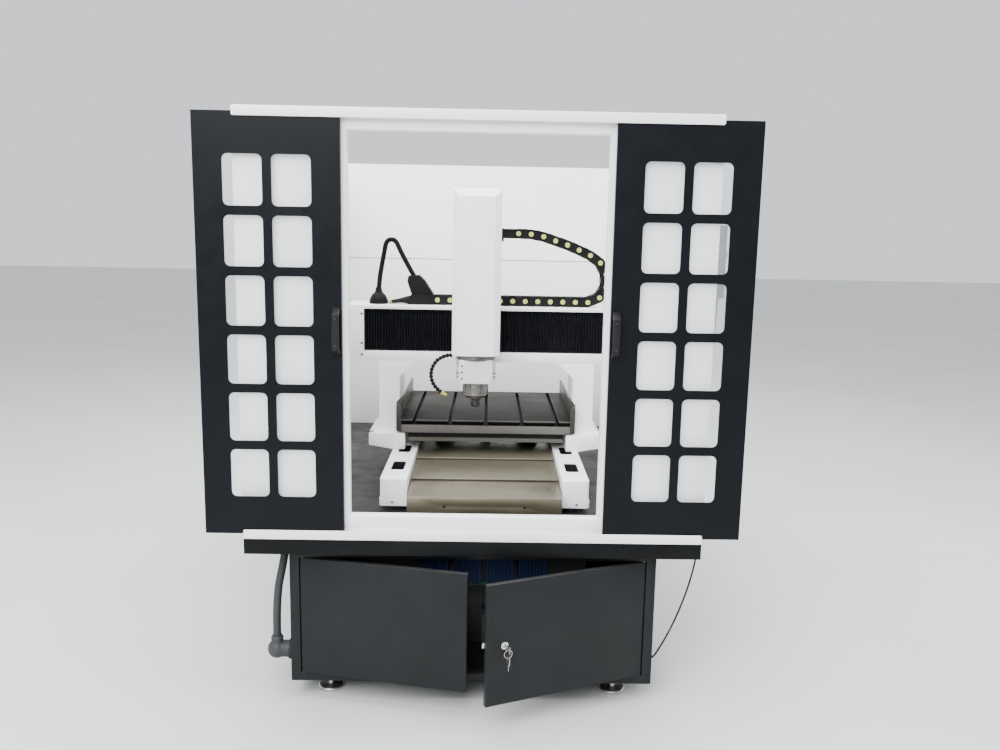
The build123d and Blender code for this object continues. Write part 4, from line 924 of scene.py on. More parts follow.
CHIPPED = (0.32, 0.32, 0.31)
WHITE_DUST = (0.55, 0.53, 0.49)
FINISHES: dict[str, Finish] = {
    "cabinet_paint": PaintedSheet(
        (0.0112, 0.0122, 0.0134), (0.0092, 0.0100, 0.0111), (0.34, 0.48),
        edge_colour=(0.07, 0.07, 0.075), specular=0.15, dust_share=0.04
    ),
    "tray_paint": PaintedSheet(
        (0.0045, 0.0051, 0.0058), (0.0037, 0.0042, 0.0049), (0.38, 0.52),
        edge_colour=(0.06, 0.06, 0.065), specular=0.08, dust_share=0.12
    ),
    "white_paint": PaintedSheet(
        (0.90, 0.903, 0.906), (0.87, 0.873, 0.876), (0.3, 0.42), mottle=2.0, dust=WHITE_DUST
    ),
    "casting_paint": SprayedCasting(
        (0.91, 0.912, 0.914), (0.87, 0.872, 0.874), (0.32, 0.48), depth=0.00012, grain=260.0,
        edge_radius=0.002, dust=WHITE_DUST, dust_share=0.2
    ),
    "head_paint": SprayedCasting(
        (0.93, 0.927, 0.927), (0.90, 0.897, 0.897), (0.28, 0.4), depth=0.00004, grain=420.0,
        dust=WHITE_DUST
    ),
    "black_paint": PaintedSheet(
        (0.0034, 0.0041, 0.0060), (0.0027, 0.0033, 0.0049), (0.3, 0.42), dust=(0.2, 0.2, 0.21),
        dust_share=0.03, edge_colour=(0.05, 0.05, 0.055), specular=0.12
    ),
    "black_plastic": MouldedPlastic(
        (0.008, 0.008, 0.009), (0.011, 0.011, 0.012), (0.4, 0.52), grain=1500.0, specular=0.16
    ),
    "zinc_steel": TurnedMetal(
        (0.55, 0.55, 0.53), (0.42, 0.41, 0.38), (0.28, 0.42), 1.0, mottle=30.0
    ),
    "bright_chrome": TurnedMetal(
        (0.72, 0.73, 0.74), (0.62, 0.62, 0.62), (0.1, 0.2), 1.0, mottle=30.0
    ),
    "drive_plastic": MouldedPlastic(
        (0.010, 0.020, 0.062), (0.008, 0.015, 0.048), (0.4, 0.55), grain=900.0, specular=0.12
    ),
    "clear_pane": ClearSheet(
        (0.82, 0.86, 0.88), (0.76, 0.80, 0.82), (0.06, 0.14), edge_radius=0.0004
    ),
    "pad_rubber": MouldedPlastic(
        (0.022, 0.022, 0.023), (0.03, 0.03, 0.03), (0.6, 0.75), grain=700.0
    ),
    "rail_steel": TurnedMetal(
        (0.56, 0.57, 0.58), (0.42, 0.42, 0.41), (0.2, 0.34), 1.0, mottle=14.0
    ),
    "motor_black": PaintedSheet(
        (0.018, 0.018, 0.02), (0.014, 0.014, 0.015), (0.38, 0.5), edge_colour=(0.1, 0.1, 0.1)
    ),
    # cover_steel: its light edge colour is wear and a painted highlight along the covers' edges.
    "cover_steel": OiledSheet(
        (0.196, 0.177, 0.126), (0.146, 0.13, 0.091), (0.28, 0.46), 0.7, mottle=2.6,
        stretch=(0.35, 2.2, 1.0), grain=260.0, depth=0.00003, edge_radius=0.0014,
        edge_colour=(0.42, 0.41, 0.39)
    ),
    "bellows_black": BellowsCloth(
        (0.008, 0.009, 0.013), (0.012, 0.013, 0.017), (0.4, 0.55), mottle=20.0, grain=1600.0
    ),
    "table_iron": GroundIron(
        (0.125, 0.120, 0.112), (0.095, 0.090, 0.083), (0.5, 0.66), 0.08, mottle=2.2, specular=0.05,
        stretch=(2.4, 0.5, 1.0), grain=420.0, depth=0.00004, edge_radius=0.0012,
        oil=(0.06, 0.056, 0.05), edge_colour=(0.36, 0.355, 0.35)
    ),
    "guard_steel": OiledSheet(
        (0.042, 0.039, 0.033), (0.030, 0.028, 0.023), (0.32, 0.48), 0.2, mottle=5.0, specular=0.3,
        stretch=(1.0, 0.4, 3.0), grain=300.0, depth=0.00003, oil_share=0.3
    ),
    "carriage_aluminium": TurnedMetal(
        (0.74, 0.745, 0.755), (0.68, 0.685, 0.69), (0.3, 0.42), 0.35, mottle=9.0, depth=0.00003
    ),
    "spindle_steel": TurnedMetal(
        (0.21, 0.204, 0.192), (0.14, 0.135, 0.125), (0.13, 0.24), 1.0, mottle=22.0, depth=0.00003
    ),
    "nut_steel": TurnedMetal(
        (0.06, 0.06, 0.062), (0.035, 0.035, 0.036), (0.22, 0.38), 0.9, mottle=40.0
    ),
    "hose_plastic": MouldedPlastic(
        (0.008, 0.008, 0.009), (0.011, 0.011, 0.013), (0.4, 0.52), grain=1500.0, specular=0.06
    ),
    "chain_plastic": MouldedPlastic(
        (0.007, 0.007, 0.008), (0.010, 0.010, 0.011), (0.44, 0.58), grain=1300.0, specular=0.09
    ),
    "gland_plastic": MouldedPlastic(
        (0.006, 0.006, 0.007), (0.009, 0.009, 0.010), (0.44, 0.6), grain=900.0, specular=0.08
    ),
    "conduit_plastic": MouldedPlastic(
        (0.006, 0.0065, 0.008), (0.010, 0.010, 0.012), (0.42, 0.56), grain=1300.0, specular=0.05
    ),
    "waste_plastic": MouldedPlastic(
        (0.03, 0.034, 0.04), (0.045, 0.048, 0.052), (0.42, 0.58), grain=900.0
    ),
    "handset_plastic": MouldedPlastic(
        (0.014, 0.014, 0.016), (0.02, 0.02, 0.021), (0.4, 0.52), grain=1500.0
    ),
    "lead_rubber": MouldedPlastic(
        (0.010, 0.010, 0.011), (0.016, 0.016, 0.017), (0.45, 0.6), grain=900.0
    ),
}
SMALL_FINISHES: dict[str, Finish] = {
    "black_screw": TurnedMetal(
        (0.03, 0.03, 0.032), (0.05, 0.05, 0.05), (0.28, 0.42), 0.8, mottle=60.0
    ),
    "grey_screw": TurnedMetal(
        (0.40, 0.40, 0.39), (0.28, 0.27, 0.25), (0.26, 0.4), 1.0, mottle=60.0
    ),
    "chain_pin": MouldedPlastic((0.50, 0.52, 0.13), (0.42, 0.43, 0.10), (0.4, 0.52), grain=1500.0),
    "nozzle_yellow": MouldedPlastic(
        (0.60, 0.56, 0.07), (0.52, 0.47, 0.05), (0.36, 0.5), grain=1500.0
    ),
    # Wiper rubber, whose black also paints the shade under each cover's lip.
    "wiper_rubber": MouldedPlastic(
        (0.016, 0.015, 0.014), (0.03, 0.028, 0.024), (0.5, 0.65), grain=900.0
    ),
    "terminal_green": MouldedPlastic(
        (0.02, 0.085, 0.04), (0.016, 0.065, 0.03), (0.4, 0.52), grain=1200.0
    ),
    "supply_metal": OiledSheet(
        (0.05, 0.05, 0.05), (0.04, 0.04, 0.04), (0.45, 0.6), 0.2, mottle=8.0, specular=0.15,
        oil_share=0.2
    ),
    "stop_red": MouldedPlastic(
        (0.55, 0.02, 0.015), (0.45, 0.02, 0.015), (0.25, 0.36), grain=1500.0
    ),
    "display_dark": MouldedPlastic(
        (0.02, 0.035, 0.03), (0.025, 0.04, 0.035), (0.1, 0.2), grain=1500.0
    ),
    "bundle_tan": MouldedPlastic((0.46, 0.34, 0.20), (0.38, 0.28, 0.16), (0.45, 0.6), grain=900.0),
    "key_grey": MouldedPlastic((0.42, 0.42, 0.41), (0.36, 0.36, 0.35), (0.4, 0.52), grain=1500.0),
    "shelf_steel": OiledSheet(
        (0.11, 0.106, 0.098), (0.085, 0.08, 0.072), (0.45, 0.6), 0.1, mottle=3.0, specular=0.1
    ),
    # Painted shade under the rear panel's step.
    "seam_grey": MouldedPlastic((0.13, 0.13, 0.13), (0.10, 0.10, 0.10), (0.5, 0.65), grain=900.0),
    # Near black: painted shade in the bed's pockets and under the table's front; also the table's
    # rear strip.
    "pocket_black": MouldedPlastic(
        (0.006, 0.006, 0.006), (0.009, 0.009, 0.009), (0.6, 0.75), grain=700.0
    ),
    "studio_floor": StudioFloor(
        (0.62, 0.63, 0.62), (0.57, 0.58, 0.575), (0.42, 0.6), mottle=0.8, depth=0.0002
    ),
}


class PaintShop:
    """Makes each material once and puts it on pieces."""

    def __init__(self) -> None:
        """Start with no material made, and read each node's slot from the record."""
        self.made: dict[str, bpy.types.Material] = {}
        rows = frame["record"]["subparts"]
        self.slot_of = {row["node"]: row["material_slot"] for row in rows}

    def material(self, name: str) -> bpy.types.Material:
        """Give a material by the name of its slot or small finish.

        Args:
            name: the slot's or the small finish's name.

        Returns:
            The material.
        """
        if name not in self.made:
            finish = FINISHES.get(name) or SMALL_FINISHES[name]
            self.made[name] = finish.make(name)
        return self.made[name]

    def paint(self, piece: Piece, name: str) -> Piece:
        """Give a piece one material all over.

        Args:
            piece: the piece.
            name: the material's name.

        Returns:
            The same piece.
        """
        piece.data.materials.clear()
        piece.data.materials.append(self.material(name))
        return piece

    def paint_nodes(self) -> None:
        """Give every node of the frame the finish of its slot."""
        for name, node in frame["nodes"].items():
            self.paint(node, self.slot_of[name])
            LOG.info("painted %s with %s", name, self.slot_of[name])


def low_corner(node: str) -> Vector:
    """Give a node's lowest corner."""
    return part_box(node)[0]


def body_of(node: str) -> str:
    """Give the name of the body that holds a node."""
    bodies = frame["record"]["behaviour"]["bodies"]
    return next(body for body, members in bodies.items() if node in members)


@dataclass
class SubAssembly:
    """A group of pieces that are made and dressed together."""

    shop: PaintShop
    pieces: list[Piece] = field(default_factory=list)

    def build(self) -> None:
        """Make and dress the group's pieces."""
        raise NotImplementedError

    def place(
        self, piece: Piece, body: str, slot: str, *replaced: str, finish: str | None = None
    ) -> Piece:
        """Let a finished piece ride on a body and give it its finish.

        Args:
            piece: the finished mesh.
            body: the body it moves with.
            slot: the record's slot that it belongs to.
            replaced: the nodes that it stands for.
            finish: the finish, where it isn't the slot's own, or "" where it is on already.

        Returns:
            The same piece.
        """
        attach(piece, body)
        if replaced:
            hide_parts(*replaced)
        if finish != "":
            self.shop.paint(piece, finish or slot)
        self.pieces.append(piece)
        return piece

    def add_screws(
        self, name: str, spots: Sequence[Vector], facing: Facing, size: Station,
        body: str, slot: str, finish: str | None = None,
    ) -> None:
        """Add a set of like socket screws.

        Args:
            name: the name of the set.
            spots: where each head sits.
            facing: the side that they look to.
            size: the head's radius, and how far it stands out.
            body: the body that they move with.
            slot: the record's slot that they belong to.
            finish: their finish, where it isn't the slot's own.
        """
        first = turned(f"{name}_1", screw_stations(*size), facing.turn(), sides=20)
        heads = [
            copy_of(first, f"{name}_{number}", Matrix.Translation(spot))
            for number, spot in enumerate(spots, 2)
        ]
        bpy.data.objects.remove(first)
        self.place(smooth(join(heads, name)), body, slot, finish=finish)

    def refine(self, node: str, edge: float = 0.0, segments: int = 2, angle: float = 32.0) -> Piece:
        """Stand in for a node with a merged copy that has rounded edges and smooth curves.

        Args:
            node: the node's name.
            edge: the width of the rounding, or 0 for none.
            segments: how many faces go round each edge.
            angle: the least turn of a sharp edge, in degrees.

        Returns:
            The copy.
        """
        piece = add_to_scene(f"{node}_finished", frame["nodes"][node].data.copy())
        make_active(piece)
        if piece.data.has_custom_normals:
            bpy.ops.mesh.customdata_custom_splitnormals_clear()
        with edit_mode(piece):
            bpy.ops.mesh.select_all(action="SELECT")
            bpy.ops.mesh.remove_doubles(threshold=1e-5)
            bpy.ops.mesh.dissolve_limited(angle_limit=radians(0.4))
        if edge > 0:
            soften(piece, edge, segments, angle)
        else:
            smooth(piece, angle)
        return self.place(piece, body_of(node), self.shop.slot_of[node], node)


# Hoses and leads


def smooth_line(name: str, route: Sequence[Vector], resolution: int = 24) -> Piece:
    """Lay a smooth curve along a route's points.

    Args:
        name: the curve's name.
        route: its control points.
        resolution: how many steps each stretch has.

    Returns:
        The curve object, with no thickness.
    """
    data = bpy.data.curves.new(name, "CURVE")
    data.dimensions = "3D"
    data.resolution_u = resolution
    spline = data.splines.new("NURBS")
    spline.points.add(len(route) - 1)
    for point, place in zip(spline.points, route):
        point.co = (*place, 1)
    spline.order_u = 3
    spline.use_endpoint_u = True
    return add_to_scene(name, data)


def read_line(name: str, route: Sequence[Vector]) -> list[Vector]:
    """Give the points of the smooth curve along a route.

    Args:
        name: the name of the curve that is laid for it.
        route: its control points.

    Returns:
        The points, from end to end.
    """
    curve = smooth_line(name, route)
    bpy.context.view_layer.update()
    mesh = bpy.data.meshes.new_from_object(curve)
    points = [vertex.co.copy() for vertex in mesh.vertices]
    bpy.data.meshes.remove(mesh)
    bpy.data.objects.remove(curve)
    return points


def walk(points: Sequence[Vector], step: float) -> list[tuple[Vector, Vector]]:
    """Give places at even steps along a line of points, each with its direction.

    Args:
        points: the line.
        step: about how far apart the places are.

    Returns:
        Pairs of place and direction.
    """
    lengths = [(b - a).length for a, b in zip(points, points[1:])]
    total = sum(lengths)
    count = max(2, round(total / step))
    found, index, passed = [], 0, 0.0
    for number in range(count + 1):
        wanted = total * number / count
        while index < len(lengths) - 1 and passed + lengths[index] < wanted:
            passed += lengths[index]
            index += 1
        share = (wanted - passed) / lengths[index]
        run = points[index + 1] - points[index]
        found.append((points[index] + run * min(share, 1.0), run.normalized()))
    return found


def ribbed_tube(
    name: str, points: Sequence[Vector], radius: float, rib: float, depth: float
) -> Piece:
    """Make a corrugated tube round a line.

    Args:
        name: the tube's name.
        points: the line that it follows.
        radius: its outer radius.
        rib: the length of one rib.
        depth: how deep the grooves are.

    Returns:
        The tube as a closed mesh.
    """
    sides = 20
    profile = (0.0, 1.0, 1.0, 0.0)
    steps = walk(points, rib / len(profile))
    across = steps[0][1].orthogonal().normalized()
    vertices, faces = [], []
    for number, (place, along) in enumerate(steps):
        across = (across - along * across.dot(along)).normalized()
        beside = along.cross(across)
        ring_radius = radius - depth * (1.0 - profile[number % len(profile)])
        for side in range(sides):
            turn = 2 * pi * side / sides
            vertices.append(place + (across * cos(turn) + beside * sin(turn)) * ring_radius)
    for ring in range(len(steps) - 1):
        for side in range(sides):
            first, second = ring * sides + side, ring * sides + (side + 1) % sides
            faces.append((first, second, second + sides, first + sides))
    faces.append(tuple(reversed(range(sides))))
    faces.append(tuple(range(len(vertices) - sides, len(vertices))))
    mesh = bpy.data.meshes.new(name)
    mesh.from_pydata(vertices, [], faces)
    return smooth(turn_out(add_to_scene(name, mesh)), 50.0)


@dataclass
class ConduitLine(SubAssembly):
    """The ribbed conduit that arches from the gland dome into the hood, with its fittings."""

    diameter: float = 20 * MM
    length: float = 398 * MM
    tuck: float = 4 * MM
    mouth_reach: float = 25.5 * MM
    hood_roof: float = 2 * MM
    rib: float = 3.6 * MM
    rib_depth: float = 0.9 * MM
    nut_radius: float = 16 * MM
    flange_height: float = 12 * MM
    screw_size: Station = (3.2 * MM, 3 * MM)
    screw_circle: float = 31.5 * MM
    screw_count: int = 6

    def route(self) -> list[Vector]:
        """Give the conduit's points, from the dome up and over into the hood.

        Returns:
            The control points of its curve.
        """
        low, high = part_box("cable_dome")
        x, y, z = (low.x + high.x) / 2, (low.y + high.y) / 2, high.z
        hood_low, hood_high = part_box("cable_hood")
        points = steps_from(
            (x, y, z),
            (0, 0, -4), (3, 0, 50), (13, 0, 106), (23, 0, 158), (31, 0, 203), (66, 0, 207),
            (85, 0, 164), (111, 0, 114),
        )
        mouth_x = hood_low.x + self.mouth_reach
        return points + [Vector((mouth_x, y, hood_high.z - self.hood_roof - self.tuck))]

    def build(self) -> None:
        """Make the conduit, the dome's nut and screws, and the hood."""
        route = self.route()
        line = read_line("conduit_line", route)
        tube = ribbed_tube("conduit_tube", line, self.diameter / 2, self.rib, self.rib_depth)
        self.place(tube, "base", "conduit_plastic", "conduit")
        self.refine("cable_dome", angle=40.0)
        low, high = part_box("cable_dome")
        middle = Vector(((low.x + high.x) / 2, (low.y + high.y) / 2, high.z))
        inner = self.diameter / 2 + 0.6 * MM
        profile = stations(self.nut_radius, 0, (0, -9), (0, 1))
        profile += stations(inner, 0, (2.5, 4), (2, 15), (0, 17))
        nut = turned("dome_nut", profile, Matrix.Translation(middle), sides=20)
        self.place(nut, "base", "gland_plastic")
        flange = Vector((middle.x, middle.y, low.z + self.flange_height))
        spots = []
        for number in range(self.screw_count):
            turn = 2 * pi * (number + 0.5) / self.screw_count
            spots.append(flange + Vector((cos(turn), sin(turn), 0)) * self.screw_circle)
        self.add_screws("dome_screws", spots, Facing.UP, self.screw_size, "base", "zinc_steel")
        self.refine("cable_hood", 1.6 * MM, 3)


@dataclass
class WasteLine(SubAssembly):
    """The ribbed waste hose at the cabinet's left side, down to its elbow."""

    diameter: float = 27 * MM
    length: float = 387 * MM
    rib: float = 5.2 * MM
    rib_depth: float = 1.5 * MM
    neck_reach: float = 32 * MM
    band_radius: float = 16.5 * MM
    band_height: float = 9 * MM

    def route(self) -> list[Vector]:
        """Give the hose's points, from under the tray down to the elbow's neck.

        Returns:
            The control points of its curve.
        """
        low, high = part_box("hose_elbow")
        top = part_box("base_tray")[1].z
        x, y = low.x + self.neck_reach, (low.y + high.y) / 2
        points = steps_from(
            (x, y, top),
            (37, 0, -3), (37, 0, -60), (25, -2, -130), (10, -6, -200), (3, -4, -268), (0, 0, -330),
        )
        return points + [Vector((x, y, high.z))]

    def build(self) -> None:
        """Make the hose, its bands and the elbow."""
        route = self.route()
        line = read_line("waste_line", route)
        tube = ribbed_tube("waste_tube", line, self.diameter / 2, self.rib, self.rib_depth)
        self.place(tube, "base", "waste_plastic", "waste_hose")
        self.refine("hose_elbow", angle=40.0)
        slim, rise = self.band_radius, self.band_height
        wide = slim + 4 * MM
        foot = Matrix.Translation(route[-1] + Vector((0, 0, -0.4 * rise)))
        profile = [(wide, 0), (wide, 0.6 * rise), (slim, rise), (slim, 1.4 * rise)]
        band = turned("elbow_band", profile, foot)
        self.place(band, "base", "waste_plastic")


@dataclass
class HandControl(SubAssembly):
    """The handset on the right wall: its keys, wheel and stop button, and its lead."""

    diameter: float = 6 * MM
    length: float = 1231 * MM
    step: float = 24 * MM
    relief_ribs: int = 4
    key_rows: int = 5
    key_columns: int = 3
    key_size: float = 11 * MM
    key_across: float = 22 * MM
    key_rise: float = 18 * MM
    first_key: float = 28 * MM
    display_half: float = 27 * MM
    display_span: Station = (62 * MM, 36 * MM)
    knob_height: float = 136 * MM

    def route(self) -> list[Vector]:
        """Give the lead's points, from the handset down the wall and into the cabinet's side.

        Returns:
            The control points of its curve.
        """
        low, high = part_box("handset")
        cabinet_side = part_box("cabinet_shell")[1].x
        x, y, z = (low.x + high.x) / 2, low.y, low.z
        points = steps_from(
            (x, y, z),
            (0, 38, 0), (-1, 36, -55), (-6, 30, -118), (-10, 25, -190), (-13, 19, -268),
            (-15, 15, -350), (-14, 12, -430), (-12, 13, -512), (-13, 12, -596), (-15, 13, -676),
            (-18, 12, -756), (-24, 11, -826), (-34, 9, -890), (-50, 7, -955), (-70, 6, -1018),
            (-93, 6, -1080), (-119, 7, -1138), (-142, 9, -1182),
        )
        end = Vector((cabinet_side, y + 10 * MM, z - 1197 * MM))
        return points + [end + Vector((9 * MM, 0, 0)), end]

    def build(self) -> None:
        """Make the lead with its reliefs, and dress the handset."""
        route = self.route()
        line = read_line("lead_line", route)
        lead = ribbed_tube("handset_lead_tube", line, self.diameter / 2, self.step, 0.0)
        self.place(lead, "base", "lead_rubber", "handset_lead")
        relief = [(3, -1), (3, 3), (2, 5)]
        for rib in range(self.relief_ribs):
            height = 7 + rib * 4
            relief += [(1.8 - 0.3 * rib, height), (0.7, height + 1), (0.7, height + 2)]
        for name, spot, way, count in (
            ("handset_relief", route[0], Facing.DOWN, len(relief)),
            ("cabinet_relief", route[-1], Facing.RIGHT, 4),
        ):
            profile = stations(self.diameter / 2, 0, *relief[:count])
            ridge = turned(name, profile, Matrix.Translation(spot) @ way.turn(), sides=28)
            self.place(ridge, "base", "lead_rubber")
        self.dress_handset()

    def dress_handset(self) -> None:
        """Round the handset and add its keys, display, wheel and stop button."""
        self.refine("handset", 1.8 * MM, 3)
        low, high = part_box("handset")
        face_x = high.x
        middle_y = (low.y + high.y) / 2
        keys = []
        for row in range(self.key_rows):
            for column in range(self.key_columns):
                y = middle_y + (column - 1) * self.key_across
                z = low.z + self.first_key + row * self.key_rise
                half = self.key_size / 2
                key = block(f"key_{row}_{column}", (face_x - 1 * MM, y - half, z - half * 0.8),
                            (face_x + 1.6 * MM, y + half, z + half * 0.8))
                keys.append(soften(key, 0.8 * MM, 2))
        self.place(join(keys, "handset_keys"), "base", "handset_plastic", finish="key_grey")
        half, (foot, head) = self.display_half, self.display_span
        screen = block("handset_display", (face_x - 0.5 * MM, middle_y - half, high.z - foot),
                       (face_x + 0.8 * MM, middle_y + half, high.z - head))
        inset(screen, (Facing.RIGHT,), 2 * MM, 0.8 * MM)
        self.place(soften(screen, 0.3 * MM, 2), "base", "handset_plastic", finish="display_dark")
        wheel = ((12, 0), (12, 6), (11, 7.5), (8, 7.5), (7, 6.5))
        stop = ((7, 0), (7, 4), (11, 5), (11, 9), (9, 11))
        for name, across, profile, finish in (
            ("handset_wheel", -18, wheel, "key_grey"), ("handset_stop", 20, stop, "stop_red"),
        ):
            spot = Vector((face_x - 0.5 * MM, middle_y + across * MM, low.z + self.knob_height))
            place = Matrix.Translation(spot) @ Facing.RIGHT.turn()
            knob = turned(name, stations(0, 0, *profile), place, sides=36)
            self.place(knob, "base", "handset_plastic", finish=finish)


# Cabinet and enclosure


@dataclass
class Cabinet(SubAssembly):
    """The cabinet below: shell, doors, lock, feet and the control boxes inside."""

    sheet_round: float = 1.0 * MM
    rivet_size: Station = (3.0 * MM, 1.4 * MM)
    rivet_margin: float = 30 * MM
    plate_thickness: float = 3.5 * MM
    thread_rings: int = 18
    drive_count: int = 4
    first_drive: float = 298 * MM
    drive_step: float = 112 * MM
    terminal_half: float = 34 * MM
    terminal_height: float = 9 * MM
    terminal_drop: float = 158 * MM
    cage_middle: float = 145 * MM
    cage_half: float = 116 * MM

    def build(self) -> None:
        """Dress the shell, the doors and the lock, and add the small hardware."""
        self.refine("cabinet_shell", self.sheet_round, 2)
        for node in ("cabinet_door_left", "cabinet_door_right"):
            self.refine(node, 0.8 * MM, 2)
        for node in ("levelling_feet", "cabinet_hinge_pins", "lock_housing", "lock_plug"):
            self.refine(node, 0.3 * MM, 2, 40.0)
        self.refine("door_keys", 0.3 * MM, 2, 45.0)
        boxes = self.refine("control_boxes", 0.6 * MM, 1)
        boxes.data.materials.append(self.shop.material("supply_metal"))
        plate_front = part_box("control_boxes")[1].y - self.plate_thickness
        for face in boxes.data.polygons:
            face.material_index = int(face.center.y > plate_front)
        self.add_foot_threads()
        self.add_terminals()
        self.add_shell_screws()

    def add_foot_threads(self) -> None:
        """Add each foot's thread as narrow rings round its stem."""
        low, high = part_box("levelling_feet")
        pad = 43 * MM
        stem = 8.25 * MM
        groove = 0.9 * MM
        profile = []
        for ring in range(self.thread_rings):
            height = 14 * MM + ring * 2 * MM
            profile += [(stem - groove, height), (stem, height + 1 * MM)]
        columns = []
        for x in (low.x + pad, high.x - pad):
            for y in (low.y + pad, high.y - pad):
                place = Matrix.Translation((x, y, 0))
                columns.append(turned(f"thread_{len(columns)}", profile, place, 24))
        self.place(join(columns, "foot_threads"), "base", "zinc_steel")

    def add_terminals(self) -> None:
        """Add a row of terminals under each drive and a metal cage on the supplies."""
        low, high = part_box("control_boxes")
        strips = []
        half, z = self.terminal_half, high.z - self.terminal_drop
        for number in range(self.drive_count):
            x = low.x + self.first_drive + number * self.drive_step
            strip = block(f"strip_{number}", (x - half, low.y + 14 * MM, z - 4 * MM),
                          (x + half, low.y + 30 * MM, z + self.terminal_height))
            strips.append(inset(strip, (Facing.FRONT,), 1.2 * MM, 1.5 * MM, cuts=7))
        terminals = join(strips, "drive_terminals")
        self.place(terminals, "base", "drive_plastic", finish="terminal_green")
        cages = []
        half, y, z = self.cage_half, high.y - 93 * MM, low.z + 20 * MM
        for side in (-1, 1):
            x = side * self.cage_middle
            cage = block(f"cage_{side}", (x - half, y - 1.5 * MM, z - 1.5 * MM),
                         (x + half, y + 40 * MM, z + 131.5 * MM))
            cages.append(inset(cage, (Facing.FRONT,), 3.5 * MM, 1.2 * MM, cuts=9))
        self.place(join(cages, "supply_cages"), "base", "drive_plastic", finish="supply_metal")

    def add_shell_screws(self) -> None:
        """Add the screws that hold the cabinet's side and rear sheets."""
        low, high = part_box("cabinet_shell")
        rim = self.rivet_margin
        heights = spread(low.z + rim, high.z - rim, 3)
        depths, widths = spread(low.y + rim, high.y - rim, 5), spread(low.x + rim, high.x - rim, 4)
        sets = {
            "left": (Facing.LEFT, [Vector((low.x, y, z)) for y in depths for z in heights]),
            "right": (Facing.RIGHT, [Vector((high.x, y, z)) for y in depths for z in heights]),
            "rear": (Facing.BACK, [Vector((x, high.y, z)) for x in widths for z in heights]),
        }
        for word, (facing, spots) in sets.items():
            self.add_screws(f"cabinet_{word}_screws", spots, facing, self.rivet_size, "base",
                            "zinc_steel", "grey_screw")


@dataclass
class Enclosure(SubAssembly):
    """The sheet metal walls on the tray, with their rails and screws."""

    sheet_round: float = 0.8 * MM
    screw_size: Station = (4.0 * MM, 1.6 * MM)
    side_margin: float = 60 * MM
    front_margin: float = 80 * MM
    back_margin: float = 30 * MM
    rear_margin: float = 40 * MM
    step_height: float = 835 * MM

    def build(self) -> None:
        """Dress the walls and add their screws."""
        self.refine("base_tray", 1.0 * MM, 2)
        for node in ("front_frame", "left_side_panel", "right_side_panel", "rear_panel"):
            self.refine(node, self.sheet_round, 2)
        for node in ("top_rail", "bottom_rail"):
            self.refine(node, 0.8 * MM, 2)
        self.add_panel_screws()
        self.add_seam_strips()
        self.add_rear_seam()

    def add_panel_screws(self) -> None:
        """Add the screws along the walls' edges."""
        for side, facing in ((Side.LEFT, Facing.LEFT), (Side.RIGHT, Facing.RIGHT)):
            low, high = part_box(f"{side.word}_side_panel")
            x = low.x if side is Side.LEFT else -low_corner("left_side_panel").x
            heights = spread(low.z + self.side_margin, high.z - self.side_margin, 6)
            depths = (low.y + self.front_margin, high.y - self.back_margin)
            spots = [Vector((x, y, z)) for y in depths for z in heights]
            self.add_screws(f"{side.word}_panel_screws", spots, facing, self.screw_size, "base",
                            "white_paint", "grey_screw")
        low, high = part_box("rear_panel")
        rim = self.rear_margin
        spots = [Vector((x, high.y, high.z - rim)) for x in spread(low.x + rim, high.x - rim, 6)]
        self.add_screws("rear_panel_screws", spots, Facing.BACK, self.screw_size, "base",
                        "white_paint", "grey_screw")

    def add_seam_strips(self) -> None:
        """Add the sealing strips where the walls stand on the tray."""
        low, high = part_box("left_side_panel")
        width = 6 * MM
        strips = []
        for side in (-1, 1):
            inner = side * (abs(high.x) - width)
            outer = side * abs(high.x)
            strip = block(f"seal_{side}", (min(inner, outer), low.y + 10 * MM, low.z),
                          (max(inner, outer), high.y - 10 * MM, low.z + 5 * MM))
            with edit_mode(strip):
                select_faces(strip, Facing.UP)
                bpy.ops.transform.resize(value=(0.998, 1, 1))
            strips.append(soften(strip, 1.2 * MM, 2))
        self.place(join(strips, "tray_seals"), "base", "white_paint")

    def add_rear_seam(self) -> None:
        """Add a grey strip under the rear panel's step, as painted shade."""
        low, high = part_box("rear_panel")
        z = low.z + self.step_height
        # A thin grey strip that paints the shade under the step.
        seam = block("rear_seam", (low.x + 34 * MM, low.y - 0.6 * MM, z - 1.8 * MM),
                     (high.x - 34 * MM, low.y + 0.4 * MM, z + 1.8 * MM))
        self.place(soften(seam, 0.25 * MM, 1), "base", "white_paint", finish="seam_grey")


